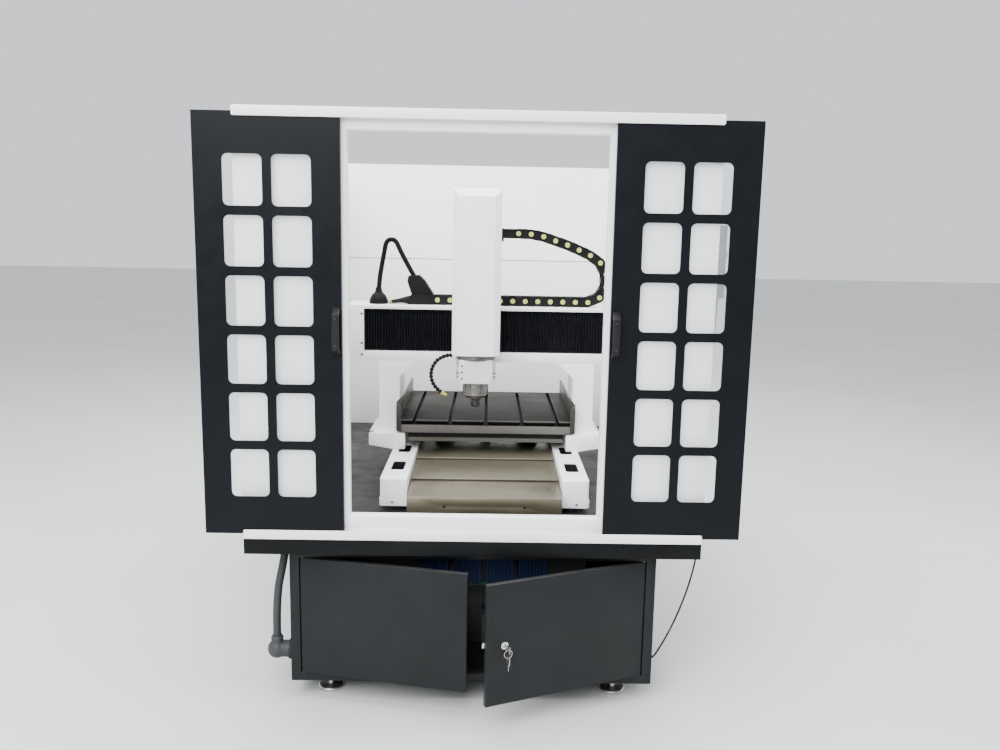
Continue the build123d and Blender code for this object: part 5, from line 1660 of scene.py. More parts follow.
@dataclass
class SlidingDoor(SubAssembly):
    """One sliding door: its pan with windows, the pane and the bow handle."""

    side: Side = Side.LEFT
    foot: float = 14 * MM
    slope: float = 20 * MM
    bar: float = 9 * MM
    round_width: float = 2.6 * MM
    screw_margin: float = 34 * MM
    clip_size: float = 16 * MM

    def build(self) -> None:
        """Dress the door and replace its handle."""
        word = self.side.word
        self.refine(f"{word}_door", 0.5 * MM, 1, 40.0)
        self.add_handle()
        self.add_pane_clips()

    def add_handle(self) -> None:
        """Model the bow handle: a bar on two sloping feet."""
        word = self.side.word
        low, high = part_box(f"{word}_door_handle")
        reach = high.y - low.y
        handle = block(f"{word}_bow_handle", low, high)
        slice_off(handle, (low.x, high.y, low.z), (0, -self.slope, -reach))
        slice_off(handle, (low.x, high.y, high.z), (0, -self.slope, reach))
        inner_y = low.y + self.bar
        finger = block("finger_gap", (low.x - self.bar, inner_y, low.z + self.foot),
                       (high.x + self.bar, high.y + self.bar, high.z - self.foot))
        rise = self.slope + self.foot / 2 - self.foot
        run = high.y - inner_y
        slice_off(finger, (low.x, high.y, low.z + self.foot), (0, -rise, -run))
        slice_off(finger, (low.x, high.y, high.z - self.foot), (0, -rise, run))
        cut(handle, finger)
        turn_out(handle)
        soften(handle, self.round_width, 3)
        body = f"{word}_sliding_door"
        self.place(handle, body, "black_plastic", f"{word}_door_handle")
        x, rim = (low.x + high.x) / 2, self.screw_margin
        spots = [Vector((x, low.y, z)) for z in (low.z + rim, high.z - rim)]
        self.add_screws(f"{word}_handle_screws", spots, Facing.FRONT, (3.4 * MM, 1.2 * MM), body,
                        "black_plastic", "black_screw")

    def add_pane_clips(self) -> None:
        """Add the clips that hold the pane behind the door's skin."""
        word = self.side.word
        low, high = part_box(f"{word}_door_pane")
        half = self.clip_size / 2
        clips = []
        for x in (low.x - 2 * MM, high.x + 2 * MM):
            for z in spread(low.z + 60 * MM, high.z - 60 * MM, 5):
                clip = block(f"clip_{len(clips)}", (x - half, high.y - 1.2 * MM, z - half),
                             (x + half, high.y + 2.2 * MM, z + half))
                clips.append(soften(clip, 0.9 * MM, 2))
        self.place(join(clips, f"{word}_pane_clips"), f"{word}_sliding_door", "black_plastic")


# Bed, covers and table


@dataclass
class Bed(SubAssembly):
    """The bed casting with its rails, motors, way covers and the folded cover behind the table."""

    casting_round: float = 2.4 * MM
    wiper_height: float = 5 * MM
    wiper_thickness: float = 1.6 * MM
    fold_count: int = 16
    fold_depth: float = 6 * MM
    blend_reach: float = 0.16  # how far the blend passes the cover's ends, as a share of it
    levelling_spot: Station = (46 * MM, 14 * MM)
    cover_spot: Station = (135 * MM, 30 * MM)
    rail_middle: float = 190 * MM
    rail_top: float = 46 * MM
    pocket_middle: float = 316.75 * MM
    pocket_width: float = 48 * MM
    pocket_spans: tuple[Station, ...] = ((0.125, 0.250), (0.380, 0.505))
    pocket_depth: float = 60 * MM
    pocket_wall: float = 4 * MM
    pocket_corner: float = 12 * MM

    def build(self) -> None:
        """Dress the bed and its covers."""
        self.refine("machine_bed", self.casting_round, 3)
        self.line_pockets()
        self.refine("bed_pads", 1.2 * MM, 2, 40.0)
        self.refine("linear_rails", 0.4 * MM, 1)
        self.refine("axis_motors", 0.8 * MM, 2, 40.0)
        self.refine("cover_fixed", 1.8 * MM, 3)
        for node in ("cover_middle", "cover_top"):
            self.refine(node, 0.9 * MM, 2)
        self.add_bed_screws()
        self.add_cover_screws()
        self.add_wipers()
        self.add_rear_folds()
        self.add_rail_caps()
        self.refine("y_screw", angle=40.0)

    def line_pockets(self) -> None:
        """Paint shade into the bed's four pockets below the casting's wall, with black open boxes.
        """
        low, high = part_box("machine_bed")
        middle = (low.x + high.x) / 2
        half, skin = self.pocket_width / 2, 0.4 * MM
        pocket_shades = []
        for side in (-1, 1):
            x = middle + side * self.pocket_middle
            for start, end in self.pocket_spans:
                foot = high.z - self.pocket_depth + skin
                pocket_shade = block(f"liner_{len(pocket_shades)}", (x - half + skin, low.y + start + skin, foot),
                              (x + half - skin, low.y + end - skin, high.z - self.pocket_wall))
                round_along(pocket_shade, 2, self.pocket_corner - skin, 8)
                drop = (0, 0, self.pocket_wall + 2 * MM - self.pocket_depth)
                with edit_mode(pocket_shade):
                    select_faces(pocket_shade, Facing.UP)
                    bpy.ops.mesh.inset(thickness=1.2 * MM, depth=0)
                    bpy.ops.mesh.extrude_region_move(TRANSFORM_OT_translate={"value": drop})
                pocket_shades.append(turn_out(pocket_shade))
        # The black boxes are painted shade inside the pockets.
        self.place(join(pocket_shades, "pocket_liners"), "base", "casting_paint", finish="pocket_black")

    def add_bed_screws(self) -> None:
        """Add the levelling screws in the front of both wings."""
        low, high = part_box("machine_bed")
        inward, rise = self.levelling_spot
        spots = [Vector((x, low.y, low.z + rise)) for x in (low.x + inward, high.x - inward)]
        self.add_screws("bed_screws", spots, Facing.FRONT, (4.5 * MM, 2 * MM), "base",
                        "casting_paint", "grey_screw")

    def add_cover_screws(self) -> None:
        """Add the two screws in the fixed cover's front."""
        low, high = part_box("cover_fixed")
        middle = (low.x + high.x) / 2
        outward, drop = self.cover_spot
        spots = [Vector((middle + side * outward, low.y, high.z - drop)) for side in (-1, 1)]
        self.add_screws("cover_screws", spots, Facing.FRONT, (5.2 * MM, 2 * MM), "base",
                        "cover_steel", "black_screw")

    def add_wipers(self) -> None:
        """Add the rubber wiper at each moving cover section's front lip; its black paints the
        shade.
        """
        for node, body in (("cover_middle", "middle_cover"), ("cover_top", "top_cover")):
            low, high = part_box(node)
            lip = high.z - 8 * MM
            front = low.y - self.wiper_thickness
            wiper = block(f"{node}_wiper", (low.x + 3 * MM, front, lip + 0.4 * MM),
                          (high.x - 3 * MM, low.y + 0.2 * MM, lip + self.wiper_height))
            with edit_mode(wiper):
                select_faces(wiper, Facing.FRONT)
                bpy.ops.transform.translate(value=(0, 0, -0.4 * MM))
            # The wiper's black is also painted shade under the lip.
            self.place(soften(wiper, 0.5 * MM, 2), body, "cover_steel", finish="wiper_rubber")

    def add_rear_folds(self) -> None:
        """Model the folded cover behind the table."""
        low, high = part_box("rear_cover")
        middle_x = (low.x + high.x) / 2
        folds = grid("rear_folds", (middle_x, (low.y + high.y) / 2, high.z),
                     (high.x - low.x, high.y - low.y), (2, 2 * self.fold_count), False)
        drop = (0, 0, low.z - high.z)
        inside = (high.x - middle_x) / 2
        with edit_mode(folds, "EDGE"):
            select_edges(
                folds,
                lambda middle, way: abs(way.y) > ALIGNED and abs(middle.x - middle_x) > inside,
            )
            bpy.ops.mesh.extrude_region_move(TRANSFORM_OT_translate={"value": drop})
        with edit_mode(folds, "VERT"):
            select_rows(folds, 1)
            narrow = 1 - self.fold_depth / (high.x - middle_x)
            shallow = 1 - self.fold_depth / (high.z - low.z)
            foot = (middle_x, 0, low.z)
            bpy.ops.transform.resize(value=(narrow, 1, shallow), center_override=foot)
        thicken(folds, 1.2 * MM, -1, 25.0)
        self.shop.paint(folds, "bellows_black")
        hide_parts("rear_cover")
        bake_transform(folds)
        self.pieces.append(folds)

    def add_rail_caps(self) -> None:
        """Add the caps in the bolt holes of the lengthways rails."""
        low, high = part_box("machine_bed")
        middle = (low.x + high.x) / 2
        depths = spread(low.y + 60 * MM, high.y - 120 * MM, 16)
        cap_foot = low.z + self.rail_top - 0.4 * MM
        rows = [middle + side * self.rail_middle for side in (-1, 1)]
        spots = [Vector((x, y, cap_foot)) for x in rows for y in depths]
        self.add_screws("rail_caps", spots, Facing.UP, (4.2 * MM, 0.7 * MM), "base", "rail_steel",
                        "grey_screw")


@dataclass
class Table(SubAssembly):
    """The slotted table with its guards and blocks."""

    edge_round: float = 0.7 * MM
    slab: float = 47 * MM
    # The next two size the black sheet of painted shade under the slab's front.
    apron_half: float = 305 * MM
    apron_height: float = 22 * MM
    shelf_height: float = 15 * MM

    def build(self) -> None:
        """Dress the table and add the guards' screws and the black sheet of painted shade."""
        self.refine("table", self.edge_round, 2)
        self.refine("table_guards", 0.7 * MM, 2)
        self.refine("y_carriages", 0.8 * MM, 2)
        low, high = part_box("table_guards")
        table_low, table_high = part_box("table")
        back, top = table_high.y, table_high.z
        strip = block("table_rear_strip", (table_low.x + 3 * MM, back - 0.5 * MM, top - 30 * MM),
                      (table_high.x - 3 * MM, back + 2.5 * MM, top - 1 * MM))
        self.place(soften(strip, 0.6 * MM, 2), "table_slide", "table_iron", finish="pocket_black")
        height, sheet = top - 24 * MM, 2 * MM
        for word, facing, x in (("left", Facing.LEFT, table_low.x - sheet),
                                ("right", Facing.RIGHT, table_high.x + sheet)):
            spots = [Vector((x, y, height)) for y in spread(low.y + 60 * MM, high.y - 60 * MM, 5)]
            self.add_screws(f"{word}_guard_screws", spots, facing, (4.5 * MM, 3 * MM),
                            "table_slide", "guard_steel", "black_screw")
        self.add_apron()

    def add_apron(self) -> None:
        """Add the black sheet of painted shade under the slab's front, over its narrow steel shelf.
        """
        low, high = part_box("table")
        middle = (low.x + high.x) / 2
        left, right = middle - self.apron_half, middle + self.apron_half
        top = high.z - self.slab - 0.3 * MM
        foot = top - self.apron_height
        shade_sheet = block("table_apron", (left, low.y + 26 * MM, foot - 1 * MM),
                      (right, low.y + 30 * MM, top))
        self.place(soften(shade_sheet, 0.4 * MM, 1), "table_slide", "table_iron", finish="pocket_black")
        shelf = block("table_shelf", (left, low.y + 14 * MM, foot - self.shelf_height),
                      (right, low.y + 62 * MM, foot))
        self.place(soften(shelf, 1.4 * MM, 3), "table_slide", "table_iron", finish="shelf_steel")


# Gantry


@dataclass
class Gantry(SubAssembly):
    """The columns and the beam with its end blocks, rails and bellows."""

    casting_round: float = 3.0 * MM
    bellows_fold: float = 11 * MM
    bellows_depth: float = 19 * MM
    outer_tuck: float = 7 * MM
    inner_gap: float = 12 * MM
    cloth: float = 0.9 * MM
    blend_reach: float = 0.176  # how far the blend passes the bellows' ends, as a share of it
    foot_height: float = 65 * MM
    foot_margin: float = 64 * MM
    foot_screw: Station = (7 * MM, 7 * MM)

    def build(self) -> None:
        """Dress the castings and make the bellows."""
        for node in ("column_left", "column_right"):
            self.refine(node, self.casting_round, 3)
        self.refine("gantry_beam", 1.6 * MM, 2)
        self.refine("beam_end_blocks", 1.4 * MM, 2, 40.0)
        self.refine("x_screw", angle=40.0)
        self.refine("x_carriages", 0.8 * MM, 2)
        self.add_foot_screws()
        self.add_block_screws()
        self.make_bellows("bellows_left", Side.LEFT)
        self.make_bellows("bellows_right", Side.RIGHT)

    def add_foot_screws(self) -> None:
        """Add the screws that hold each column's foot to the bed."""
        for side, node in ((Side.LEFT, "column_left"), (Side.RIGHT, "column_right")):
            low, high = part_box(node)
            outer = low.x if side is Side.LEFT else high.x
            x, z = outer - side.value * 17 * MM, low.z + self.foot_height - 0.5 * MM
            depths = spread(low.y + self.foot_margin, high.y - self.foot_margin, 3)
            spots = [Vector((x, y, z)) for y in depths]
            self.add_screws(f"{node}_screws", spots, Facing.UP, self.foot_screw, "base",
                            "casting_paint", "black_screw")

    def add_block_screws(self) -> None:
        """Add the small screws beside the bellows in the front of both end blocks."""
        low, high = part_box("beam_end_blocks")
        spots = [
            Vector((x, low.y + 0.3 * MM, high.z - drop * MM))
            for x in (low.x + 63 * MM, high.x - 63 * MM)
            for drop in (34, 148, 193)
        ]
        self.add_screws("end_block_screws", spots, Facing.FRONT, (4.2 * MM, 2.4 * MM), "base",
                        "casting_paint", "black_screw")

    def make_bellows(self, node: str, side: Side) -> None:
        """Model the pleated cloth of one side.

        Args:
            node: the node that it stands for.
            side: the side of the head.
        """
        low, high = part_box(node)
        outer_tuck, inner_gap = self.outer_tuck, self.inner_gap
        low_x = low.x + (outer_tuck if side is Side.LEFT else inner_gap)
        high_x = high.x - (inner_gap if side is Side.LEFT else outer_tuck)
        columns = 2 * round((high_x - low_x) / self.bellows_fold)
        middle = ((low_x + high_x) / 2, low.y + 0.5 * MM, (low.z + high.z) / 2)
        cloth = grid(f"{node}_pleats", middle, (high_x - low_x, high.z - low.z), (columns, 4), True)
        with edit_mode(cloth, "VERT"):
            select_rows(cloth, 0)
            bpy.ops.transform.translate(value=(0, self.bellows_depth, 0))
        thicken(cloth, self.cloth, 0, 20.0)
        self.shop.paint(cloth, "bellows_black")
        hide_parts(node)
        reach = self.blend_reach * (high_x - low_x)
        start, end = (low_x - reach, high_x + reach)
        if side is Side.RIGHT:
            start, end = end, start
        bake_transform(cloth)
        self.pieces.append(cloth)


@dataclass
class DragChain(SubAssembly):
    """The drag chain: linked side plates with bars across, pins and end brackets."""

    pitch: float = 49.5 * MM
    height: float = 40 * MM
    width: float = 60 * MM
    plate: float = 3.2 * MM
    end_round: float = 16.5 * MM
    pin_radius: float = 9.5 * MM
    pin_proud: float = 1.4 * MM
    bar_length: float = 20 * MM
    straight_links: int = 14
    covered_joints: int = 2
    bend: tuple[int, ...] = (23, 61, 92, 118, 145, 156, 158, 162, 162, 170, 178)

    def joints(self) -> list[tuple[Vector, float]]:
        """Give each link's first joint and its heading in radians.

        Returns:
            Pairs of joint and heading, and the last link's end.
        """
        low = low_corner("drag_chain")
        spot = Vector((low.x + self.height / 2, low.y + 1.5 * MM, low.z + self.height / 2))
        found = []
        for degrees in [0] * self.straight_links + list(self.bend):
            heading = radians(degrees)
            found.append((spot.copy(), heading))
            spot += Vector((cos(heading), 0, sin(heading))) * self.pitch
        found.append((spot.copy(), heading))
        return found

    def side_plate(self, name: str, y: float) -> Piece:
        """Make one side plate with rounded ends and a shallow recess, along +X.

        Args:
            name: the plate's name.
            y: where its front face lies.

        Returns:
            The plate.
        """
        reach, half = 0.82 * self.end_round, self.height / 2 - 1 * MM
        plate = block(name, (-reach, y, -half), (self.pitch + reach, y + self.plate, half))
        round_along(plate, 1, 0.8 * self.end_round, 5)
        inset(plate, (Facing.FRONT, Facing.BACK), 4 * MM, 0.9 * MM)
        return soften(plate, 0.5 * MM, 1, 50.0)

    def link(self, name: str, inner: bool) -> Piece:
        """Make one link: two side plates and two cross bars.

        Args:
            name: the link's name.
            inner: whether its plates lie inside the plates of the links beside it.

        Returns:
            The link, along +X from its first joint.
        """
        step = self.plate + 0.2 * MM if inner else 0.0
        plates = [
            self.side_plate(f"{name}_front", step),
            self.side_plate(f"{name}_rear", self.width - step - self.plate),
        ]
        middle, half = self.pitch / 2, self.bar_length / 2
        for sign in (-1, 1):
            outer, inside = sign * (self.height / 2 - 0.2 * MM), sign * (self.height / 2 - 3.6 * MM)
            bar = block(f"{name}_bar_{sign}", (middle - half, 0.4 * MM, min(outer, inside)),
                        (middle + half, self.width - 0.4 * MM, max(outer, inside)))
            plates.append(soften(bar, 1.0 * MM, 2))
        return join(plates, name)

    def pins(self, name: str) -> Piece:
        """Make the two pins of a joint, in front and behind.

        Args:
            name: the name of the pair.

        Returns:
            The pair, round the joint's axis.
        """
        radius, proud = self.pin_radius, self.pin_proud
        profile = [(radius, 0), (radius, proud), (radius - 1.2 * MM, proud + 0.5 * MM),
                   (0.5 * radius, proud + 0.5 * MM), (0.4 * radius, proud - 0.2 * MM)]
        front = turned(f"{name}_front", profile, Facing.FRONT.turn(), 24)
        rear_place = Matrix.Translation((0, self.width, 0)) @ Facing.BACK.turn()
        return join([front, turned(f"{name}_rear", profile, rear_place, 24)], name)

    def end_bracket(self, name: str, low: Sequence[float], high: Sequence[float]) -> Piece:
        """Make one end bracket as a rounded block with a waist.

        Args:
            name: the bracket's name.
            low: its lowest corner.
            high: its highest corner.

        Returns:
            The bracket.
        """
        bracket = block(name, low, high)
        inset(bracket, (Facing.FRONT, Facing.BACK), 4 * MM, 1.5 * MM)
        return soften(bracket, 0.9 * MM, 2)

    def build(self) -> None:
        """Lay the links along the chain's line and join them."""
        for material in ("chain_plastic", "chain_pin"):
            self.shop.material(material)
        outer_link = self.shop.paint(self.link("outer_link", False), "chain_plastic")
        inner_link = self.shop.paint(self.link("inner_link", True), "chain_plastic")
        pin_pair = self.shop.paint(self.pins("pin_pair"), "chain_pin")
        spots = self.joints()
        parts = []
        for number, (spot, heading) in enumerate(spots):
            place = Matrix.Translation(spot) @ Matrix.Rotation(-heading, 4, "Y")
            if number < len(spots) - 1:
                template = inner_link if number % 2 else outer_link
                parts.append(copy_of(template, f"chain_link_{number}", place))
            if number >= self.covered_joints:
                parts.append(copy_of(pin_pair, f"chain_pin_{number}", place))
        for template in (outer_link, inner_link, pin_pair):
            bpy.data.objects.remove(template)
        parts += self.brackets(spots)
        chain = smooth(join(parts, "chain_links"))
        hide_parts("drag_chain")
        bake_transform(chain)
        self.pieces.append(chain)

    def brackets(self, spots: Sequence[tuple[Vector, float]]) -> list[Piece]:
        """Make the fixed end's foot and the head end's mounting plate.

        Args:
            spots: the chain's joints with their headings.

        Returns:
            The painted brackets, boots and tape.
        """
        low = low_corner("drag_chain")
        first, last = spots[0][0], spots[-1][0]
        head_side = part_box("head_cover")[1].x + 4 * MM
        foot = self.end_bracket("chain_foot", (low.x, first.y + 6 * MM, low.z),
                                (first.x + 20 * MM, first.y + self.width - 6 * MM, low.z + 6 * MM))
        arm = self.end_bracket("chain_arm", (head_side, last.y + 4 * MM, last.z - 19 * MM),
                               (last.x + 14 * MM, last.y + self.width - 4 * MM, last.z + 18 * MM))
        plate = self.end_bracket("chain_plate", (head_side, last.y, last.z - 30 * MM),
                                 (head_side + 8 * MM, last.y + self.width, last.z + 20 * MM))
        boots = []
        for number, (lean, side) in enumerate(((-0.10, 14), (-0.16, 30), (-0.12, 46))):
            tip = Vector((low.x + 8 * MM, first.y + side * MM, first.z - 2 * MM))
            way = Vector((-1, 0.06 * (number - 1), lean))
            profile = stations(0, 0, (15, -6), (14, 10), (9, 34), (7, 50), (6, 70), (5, 71))
            place = Matrix.Translation(tip) @ turn_to(way)
            boots.append(turned(f"chain_boot_{number}", profile, place, 24))
        tape_tip = Vector((low.x - 52 * MM, first.y + 28 * MM, first.z - 10 * MM))
        tape_place = Matrix.Translation(tape_tip) @ turn_to(Vector((-1, -0.1, -0.1)))
        profile = stations(0, 0, (8, 0), (8.5, 2), (8, 20), (6, 26))
        tape = turned("bundle_tape", profile, tape_place, 24)
        dark = [self.shop.paint(piece, "chain_plastic") for piece in (foot, arm, plate, *boots)]
        return [*dark, self.shop.paint(tape, "bundle_tan")]


# Head and spindle


@dataclass
class Head(SubAssembly):
    """The travelling head: plate, cover, rails, motor and the coolant hose."""

    screw_foot: float = 40 * MM
    screw_top: float = 60 * MM
    screw_depth: float = 22 * MM
    segment_count: int = 15
    segment_radius: float = 8.0 * MM
    start_reach: float = 5 * MM
    bend_reach: float = 76 * MM
    bend_drop: float = 61 * MM
    end_reach: float = 42 * MM
    end_drop: float = 143 * MM
    mount_height: float = 14 * MM
    nozzle_length: float = 26 * MM

    def build(self) -> None:
        """Dress the head and model its coolant hose."""
        self.refine("head_plate", 0.9 * MM, 2)
        self.refine("head_cover", 0.9 * MM, 3)
        self.refine("z_rails", 0.3 * MM, 1)
        self.refine("z_motor", 0.8 * MM, 2)
        self.refine("z_screw", angle=40.0)
        self.add_cover_screws()
        self.make_coolant_hose()

    def add_cover_screws(self) -> None:
        """Add the screws in the cover's sides."""
        low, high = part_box("head_cover")
        heights = spread(low.z + self.screw_foot, high.z - self.screw_top, 4)
        for word, facing, x in (("left", Facing.LEFT, low.x), ("right", Facing.RIGHT, high.x)):
            spots = [Vector((x, high.y - self.screw_depth, z)) for z in heights]
            self.add_screws(f"{word}_head_screws", spots, facing, (4 * MM, 2 * MM), "head",
                            "head_paint", "black_screw")

    def make_coolant_hose(self) -> None:
        """Model the segmented hose on its arc, with a yellow nozzle."""
        low = low_corner("head_cover")
        hose_low, hose_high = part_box("coolant_hose")
        y = (hose_low.y + hose_high.y) / 2
        start = Vector((low.x - self.start_reach, y, low.z - self.mount_height + 9 * MM))
        bend = Vector((low.x - self.bend_reach, y, low.z - self.bend_drop))
        end = Vector((low.x - self.end_reach, y, low.z - self.end_drop))
        places = arc_places(start, bend, end, self.segment_count)
        radius = self.segment_radius
        profile = [
            (share * radius, height * MM)
            for share, height in (
                (0.5, -6.8), (0.72, -5.6), (0.96, -3.4), (1, -1.6), (1, 1.4), (0.92, 3.2),
                (0.6, 5.0), (0.56, 6.9), (0.5, 7.2),
            )
        ]
        template = turned("segment", profile, Matrix.Identity(4), 24)
        self.shop.paint(template, "hose_plastic")
        parts = []
        for number, (spot, way) in enumerate(places):
            place = Matrix.Translation(spot) @ turn_to(way)
            parts.append(copy_of(template, f"segment_{number}", place))
        bpy.data.objects.remove(template)
        spot, way = places[-1]
        nozzle = turned(
            "nozzle",
            [(0.8 * radius, 3 * MM), (radius, 5 * MM), (radius, 9 * MM), (0.72 * radius, 12 * MM),
             (0.5 * radius, self.nozzle_length), (0.3 * radius, self.nozzle_length),
             (0.28 * radius, 0.7 * self.nozzle_length)],
            Matrix.Translation(spot) @ turn_to(way), 28,
        )
        parts.append(self.shop.paint(nozzle, "nozzle_yellow"))
        half = self.mount_height / 2
        mount = block("hose_mount", (start.x - half, y - half, start.z),
                      (start.x + half, y + half, low.z))
        inset(mount, (Facing.FRONT, Facing.BACK), 2 * MM, 1 * MM)
        parts.append(self.shop.paint(soften(mount, 0.8 * MM, 2), "hose_plastic"))
        hose = smooth(join(parts, "coolant_segments"))
        self.place(hose, "head", "hose_plastic", "coolant_hose", finish="")


def arc_places(
    start: Vector, middle: Vector, end: Vector, count: int
) -> list[tuple[Vector, Vector]]:
    """Give even places on the arc through three points of an upright plane.

    Args:
        start: the first point.
        middle: a point on the arc.
        end: the last point.
        count: how many places.

    Returns:
        Pairs of place and direction.
    """
    ax, az, bx, bz, cx, cz = start.x, start.z, middle.x, middle.z, end.x, end.z
    twice = 2 * (ax * (bz - cz) + bx * (cz - az) + cx * (az - bz))
    a, b, c = ax * ax + az * az, bx * bx + bz * bz, cx * cx + cz * cz
    centre = Vector((
        (a * (bz - cz) + b * (cz - az) + c * (az - bz)) / twice,
        start.y,
        (a * (cx - bx) + b * (ax - cx) + c * (bx - ax)) / twice,
    ))
    first, last = start - centre, end - centre
    turn_sign = 1.0 if first.cross(middle - centre).y > 0 else -1.0
    whole = acos(max(-1.0, min(1.0, first.normalized().dot(last.normalized()))))
    if first.cross(last).y * turn_sign < 0:
        whole = 2 * pi - whole
    found = []
    for number in range(count):
        turn = Matrix.Rotation(turn_sign * whole * number / (count - 1), 3, "Y")
        spoke = turn @ first
        found.append((centre + spoke, Vector((0, turn_sign, 0)).cross(spoke).normalized()))
    return found


@dataclass
class Spindle(SubAssembly):
    """The spindle: carriage with its clamp, turned body, shaft and collet nut."""

    radius: float = 48 * MM
    disc_radius: float = 75 * MM
    disc_flat: float = 47.5 * MM
    housing_radius: float = 47 * MM
    cone_radius: float = 27 * MM
    nut_radius: float = 17 * MM
    nose_height: float = 15 * MM
    clamp_depth: float = 106 * MM
    clamp_height: float = 86 * MM
    disc_height: float = 19 * MM
    plate_half: float = 76 * MM
    slot_count: int = 6
    slot_width: float = 5 * MM
    slot_length: float = 17.4 * MM
    slot_depth: float = 3 * MM

    def build(self) -> None:
        """Dress the carriage and turn the spindle's pieces."""
        self.refine("spindle_carriage", 1.0 * MM, 2, 40.0)
        self.refine("spindle_shaft", 0.4 * MM, 2, 40.0)
        self.turn_body()
        self.turn_nut()
        self.add_clamp_plate()
        self.add_clamp_screws()

    def add_clamp_plate(self) -> None:
        """Add the plate between the clamp and the neck, which shows on both sides of the clamp."""
        low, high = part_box("spindle_carriage")
        x, clamp_back = (low.x + high.x) / 2, low.y + self.clamp_depth
        half = self.plate_half
        plate = block("clamp_plate", (x - half, clamp_back - 20 * MM, low.z + 3 * MM),
                      (x + half, clamp_back - 2 * MM, low.z + self.clamp_height))
        soften(plate, 2.5 * MM, 3)
        self.place(plate, "spindle_slide", "carriage_aluminium")
        spots = [Vector((x + side * (half - 6 * MM), clamp_back - 20 * MM, low.z + dz * MM))
                 for side in (-1, 1) for dz in (12, 26)]
        self.add_screws("clamp_plate_screws", spots, Facing.FRONT, (3.4 * MM, 2 * MM),
                        "spindle_slide", "carriage_aluminium", "black_screw")

    def turn_body(self) -> None:
        """Turn the nose, the clamped length, the disc and the housing."""
        low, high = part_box("spindle_body")
        carriage_foot = low_corner("spindle_carriage").z
        x = (low.x + high.x) / 2
        y = low.y + self.disc_radius
        disc_low = carriage_foot + self.clamp_height
        disc_high = disc_low + self.disc_height
        nose = low.z + self.nose_height
        cone = stations(self.cone_radius, low.z, (-2, 0), (0, 1.2), (1, 2.4), (6, 4.5), (6, 5.5))
        clamped = stations(
            self.radius, nose,
            (-6, -3), (-5, -2), (-1, 0), (0, 1.2), (0, 9), (-0.9, 9.6), (-0.9, 11.6), (0, 12.2),
            (0, 36), (-0.7, 36.6), (-0.7, 38), (0, 38.6),
        )
        clamped += stations(self.radius, disc_high, (0, 1))
        housing = stations(self.housing_radius, disc_high, (0, 2))
        housing += stations(self.housing_radius, high.z, (0, -2), (-2, 0))
        axis = Matrix.Translation((x, y, 0))
        body = turned("spindle_turned", cone + clamped + housing, axis, 72)
        rim = stations(
            self.disc_radius, disc_low,
            (-5, 0), (-1, 3), (0, 4), (0, 9), (-1.4, 9.8), (-1.4, 12), (0, 12.8),
        )
        rim += stations(self.disc_radius, disc_high, (0, -1.2), (-1.2, 0))
        disc = turned("spindle_disc", rim, axis, 72)
        slice_off(disc, (x, y + self.disc_flat, disc_low), (0, 1, 0))
        whole = smooth(join([body, smooth(disc)], "spindle_turned"))
        self.place(whole, "spindle_slide", "spindle_steel", "spindle_body")

    def turn_nut(self) -> None:
        """Turn the collet nut and cut its spanner slots."""
        low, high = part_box("collet_nut")
        x, y = (low.x + high.x) / 2, (low.y + high.y) / 2
        r = self.nut_radius
        profile = [(0.36 * r, low.z + 2 * MM), (0.4 * r, low.z), (0.72 * r, low.z)]
        profile += stations(r, low.z, (-2.6, 1.2), (0, 4.5))
        profile += stations(r, high.z, (0, -9), (-1, -8), (-1, -6.5), (0, -5.5), (0, -1), (-1, 0))
        nut = turned("collet_nut_turned", profile, Matrix.Translation((x, y, 0)), 48)
        cutters = []
        half = self.slot_width / 2
        for number in range(self.slot_count):
            turn = Matrix.Rotation(2 * pi * number / self.slot_count, 4, "Z")
            cutter = block(f"slot_{number}", (r - self.slot_depth, -half, low.z - 1 * MM),
                           (r + 2 * MM, half, low.z + self.slot_length))
            cutter.data.transform(Matrix.Translation((x, y, 0)) @ turn)
            cutters.append(cutter)
        cut(nut, join(cutters, "slots"))
        self.place(smooth(nut), "spindle_rotor", "nut_steel", "collet_nut")

    def add_clamp_screws(self) -> None:
        """Add the screws in the clamp's front and left side."""
        low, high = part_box("spindle_carriage")
        x = (low.x + high.x) / 2
        front = low_corner("spindle_body").y + self.disc_radius - 58 * MM
        half = 63 * MM
        across = x - half + 13 * MM
        spots = [Vector((across, front - 0.2 * MM, low.z + dz * MM)) for dz in (18, 42, 66)]
        self.add_screws("clamp_front_screws", spots, Facing.FRONT, (3.6 * MM, 2.4 * MM),
                        "spindle_slide", "carriage_aluminium", "black_screw")
        spots = [Vector((x - half, front + 42 * MM, low.z + dz * MM)) for dz in (22, 66)]
        self.add_screws("clamp_side_screws", spots, Facing.LEFT, (6 * MM, 6 * MM),
                        "spindle_slide", "carriage_aluminium", "grey_screw")


# Studio


@dataclass(frozen=True)
class Viewpoint:
    """The photograph's viewpoint, fitted to the machine's front."""

    lens: float = 31.28
    sensor: float = 36.0
    x: float = 0.0345
    distance: float = 2.631
    height: float = 1.535
    yaw: float = 0.8716
    pitch: float = -9.2469
    roll: float = 1.0655

    def matrix(self) -> Matrix:
        """Give the camera's place and turn.

        Returns:
            The camera's matrix in the world.
        """
        yaw, pitch, roll = radians(self.yaw), radians(self.pitch), radians(self.roll)
        ahead = Vector((sin(yaw) * cos(pitch), cos(yaw) * cos(pitch), sin(pitch)))
        level = Vector((cos(yaw), -sin(yaw), 0))
        above = level.cross(ahead)
        right = level * cos(roll) + above * sin(roll)
        up = above * cos(roll) - level * sin(roll)
        turn = Matrix((right, up, -ahead)).transposed().to_4x4()
        front_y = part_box("bottom_rail")[0].y
        return Matrix.Translation((self.x, front_y - self.distance, self.height)) @ turn


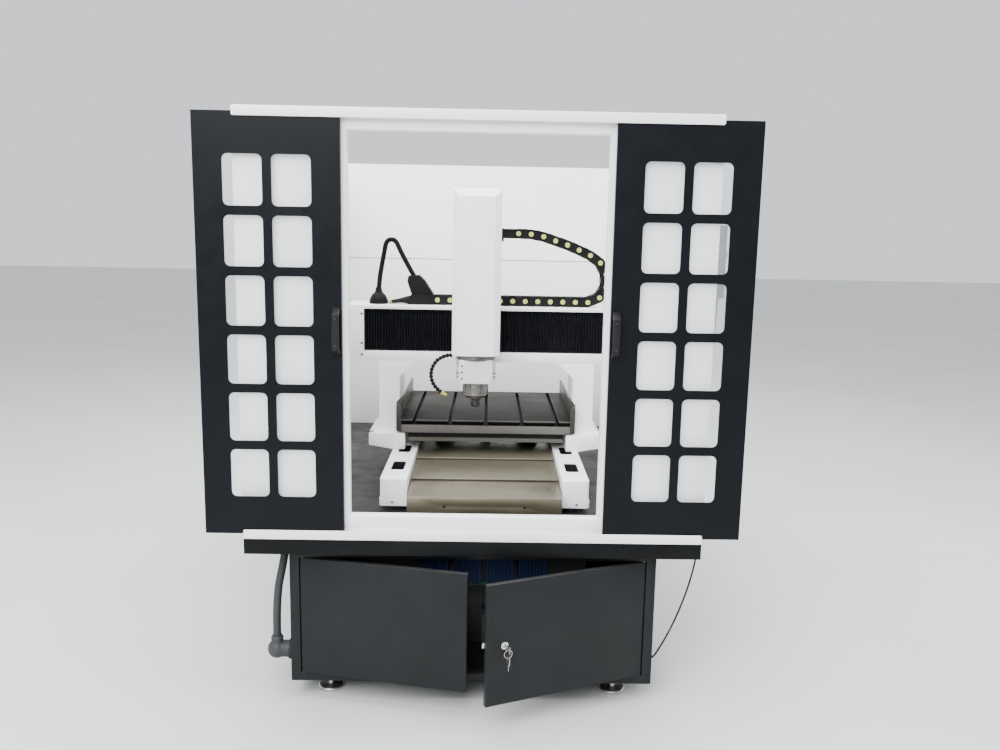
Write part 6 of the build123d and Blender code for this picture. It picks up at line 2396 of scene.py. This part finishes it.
@dataclass(frozen=True)
class SoftLight:
    """A square lamp with soft shadows."""

    name: str
    place: Colour
    target: Colour
    size: float
    power: float

    def hang(self) -> None:
        """Add the lamp and aim it."""
        data = bpy.data.lights.new(self.name, "AREA")
        data.size = self.size
        data.energy = self.power
        lamp = add_to_scene(self.name, data)
        lamp.location = self.place
        way = Vector(self.target) - Vector(self.place)
        lamp.rotation_euler = way.to_track_quat("-Z", "Y").to_euler()


@dataclass
class Studio:
    """The pale floor, the soft light and the camera."""

    shop: PaintShop
    floor_size: float = 60.0
    world_colour: Colour = (0.86, 0.89, 0.93)
    world_strength: float = 1.2

    def build(self) -> None:
        """Set up the camera, the floor and the light."""
        self.set_camera()
        self.lay_floor()
        self.light()

    def set_camera(self) -> None:
        """Add the camera at the photograph's viewpoint."""
        view = Viewpoint()
        data = bpy.data.cameras.new("camera")
        data.lens = view.lens
        data.sensor_width = view.sensor
        data.clip_end = 200
        camera = add_to_scene("camera", data)
        camera.matrix_world = view.matrix()
        bpy.context.scene.camera = camera

    def lay_floor(self) -> None:
        """Add the floor."""
        clear_selection()
        bpy.ops.mesh.primitive_plane_add(size=self.floor_size, location=(0, 0, 0))
        floor = name_and_settle("floor")
        self.shop.paint(floor, "studio_floor")

    def light(self) -> None:
        """Add a pale world and the lamps."""
        world = bpy.data.worlds.new("world")
        world.use_nodes = True
        background = world.node_tree.nodes["Background"]
        background.inputs["Color"].default_value = (*self.world_colour, 1)
        background.inputs["Strength"].default_value = self.world_strength
        bpy.context.scene.world = world
        for lamp in (
            SoftLight("key_lamp", (-1.6, -4.6, 4.4), (0, 0, 1.0), 4.0, 560.0),
            SoftLight("ceiling_lamp", (0.0, 0.2, 5.0), (0, 0, 1.0), 5.0, 640.0),
            SoftLight("side_lamp", (4.5, -1.5, 3.0), (0, 0, 0.8), 3.0, 60.0),
        ):
            lamp.hang()


def write_sizes() -> None:
    """Update the view layer."""
    bpy.context.view_layer.update()


def main() -> None:
    """Build the studio and every sub-assembly in order."""
    logging.basicConfig(level=logging.INFO, format="%(message)s")
    clear_selection()
    shop = PaintShop()
    Studio(shop).build()
    shop.paint_nodes()
    groups: list[SubAssembly] = [
        ConduitLine(shop),
        WasteLine(shop),
        HandControl(shop),
        Cabinet(shop),
        Enclosure(shop),
        SlidingDoor(shop, side=Side.LEFT),
        SlidingDoor(shop, side=Side.RIGHT),
        Bed(shop),
        Table(shop),
        Gantry(shop),
        DragChain(shop),
        Head(shop),
        Spindle(shop),
    ]
    for group in groups:
        group.build()
        for piece in group.pieces:
            LOG.info("%s made %s", type(group).__name__, piece.name)
    clear_selection()
    write_sizes()


if __name__ == "__main__":
    main()
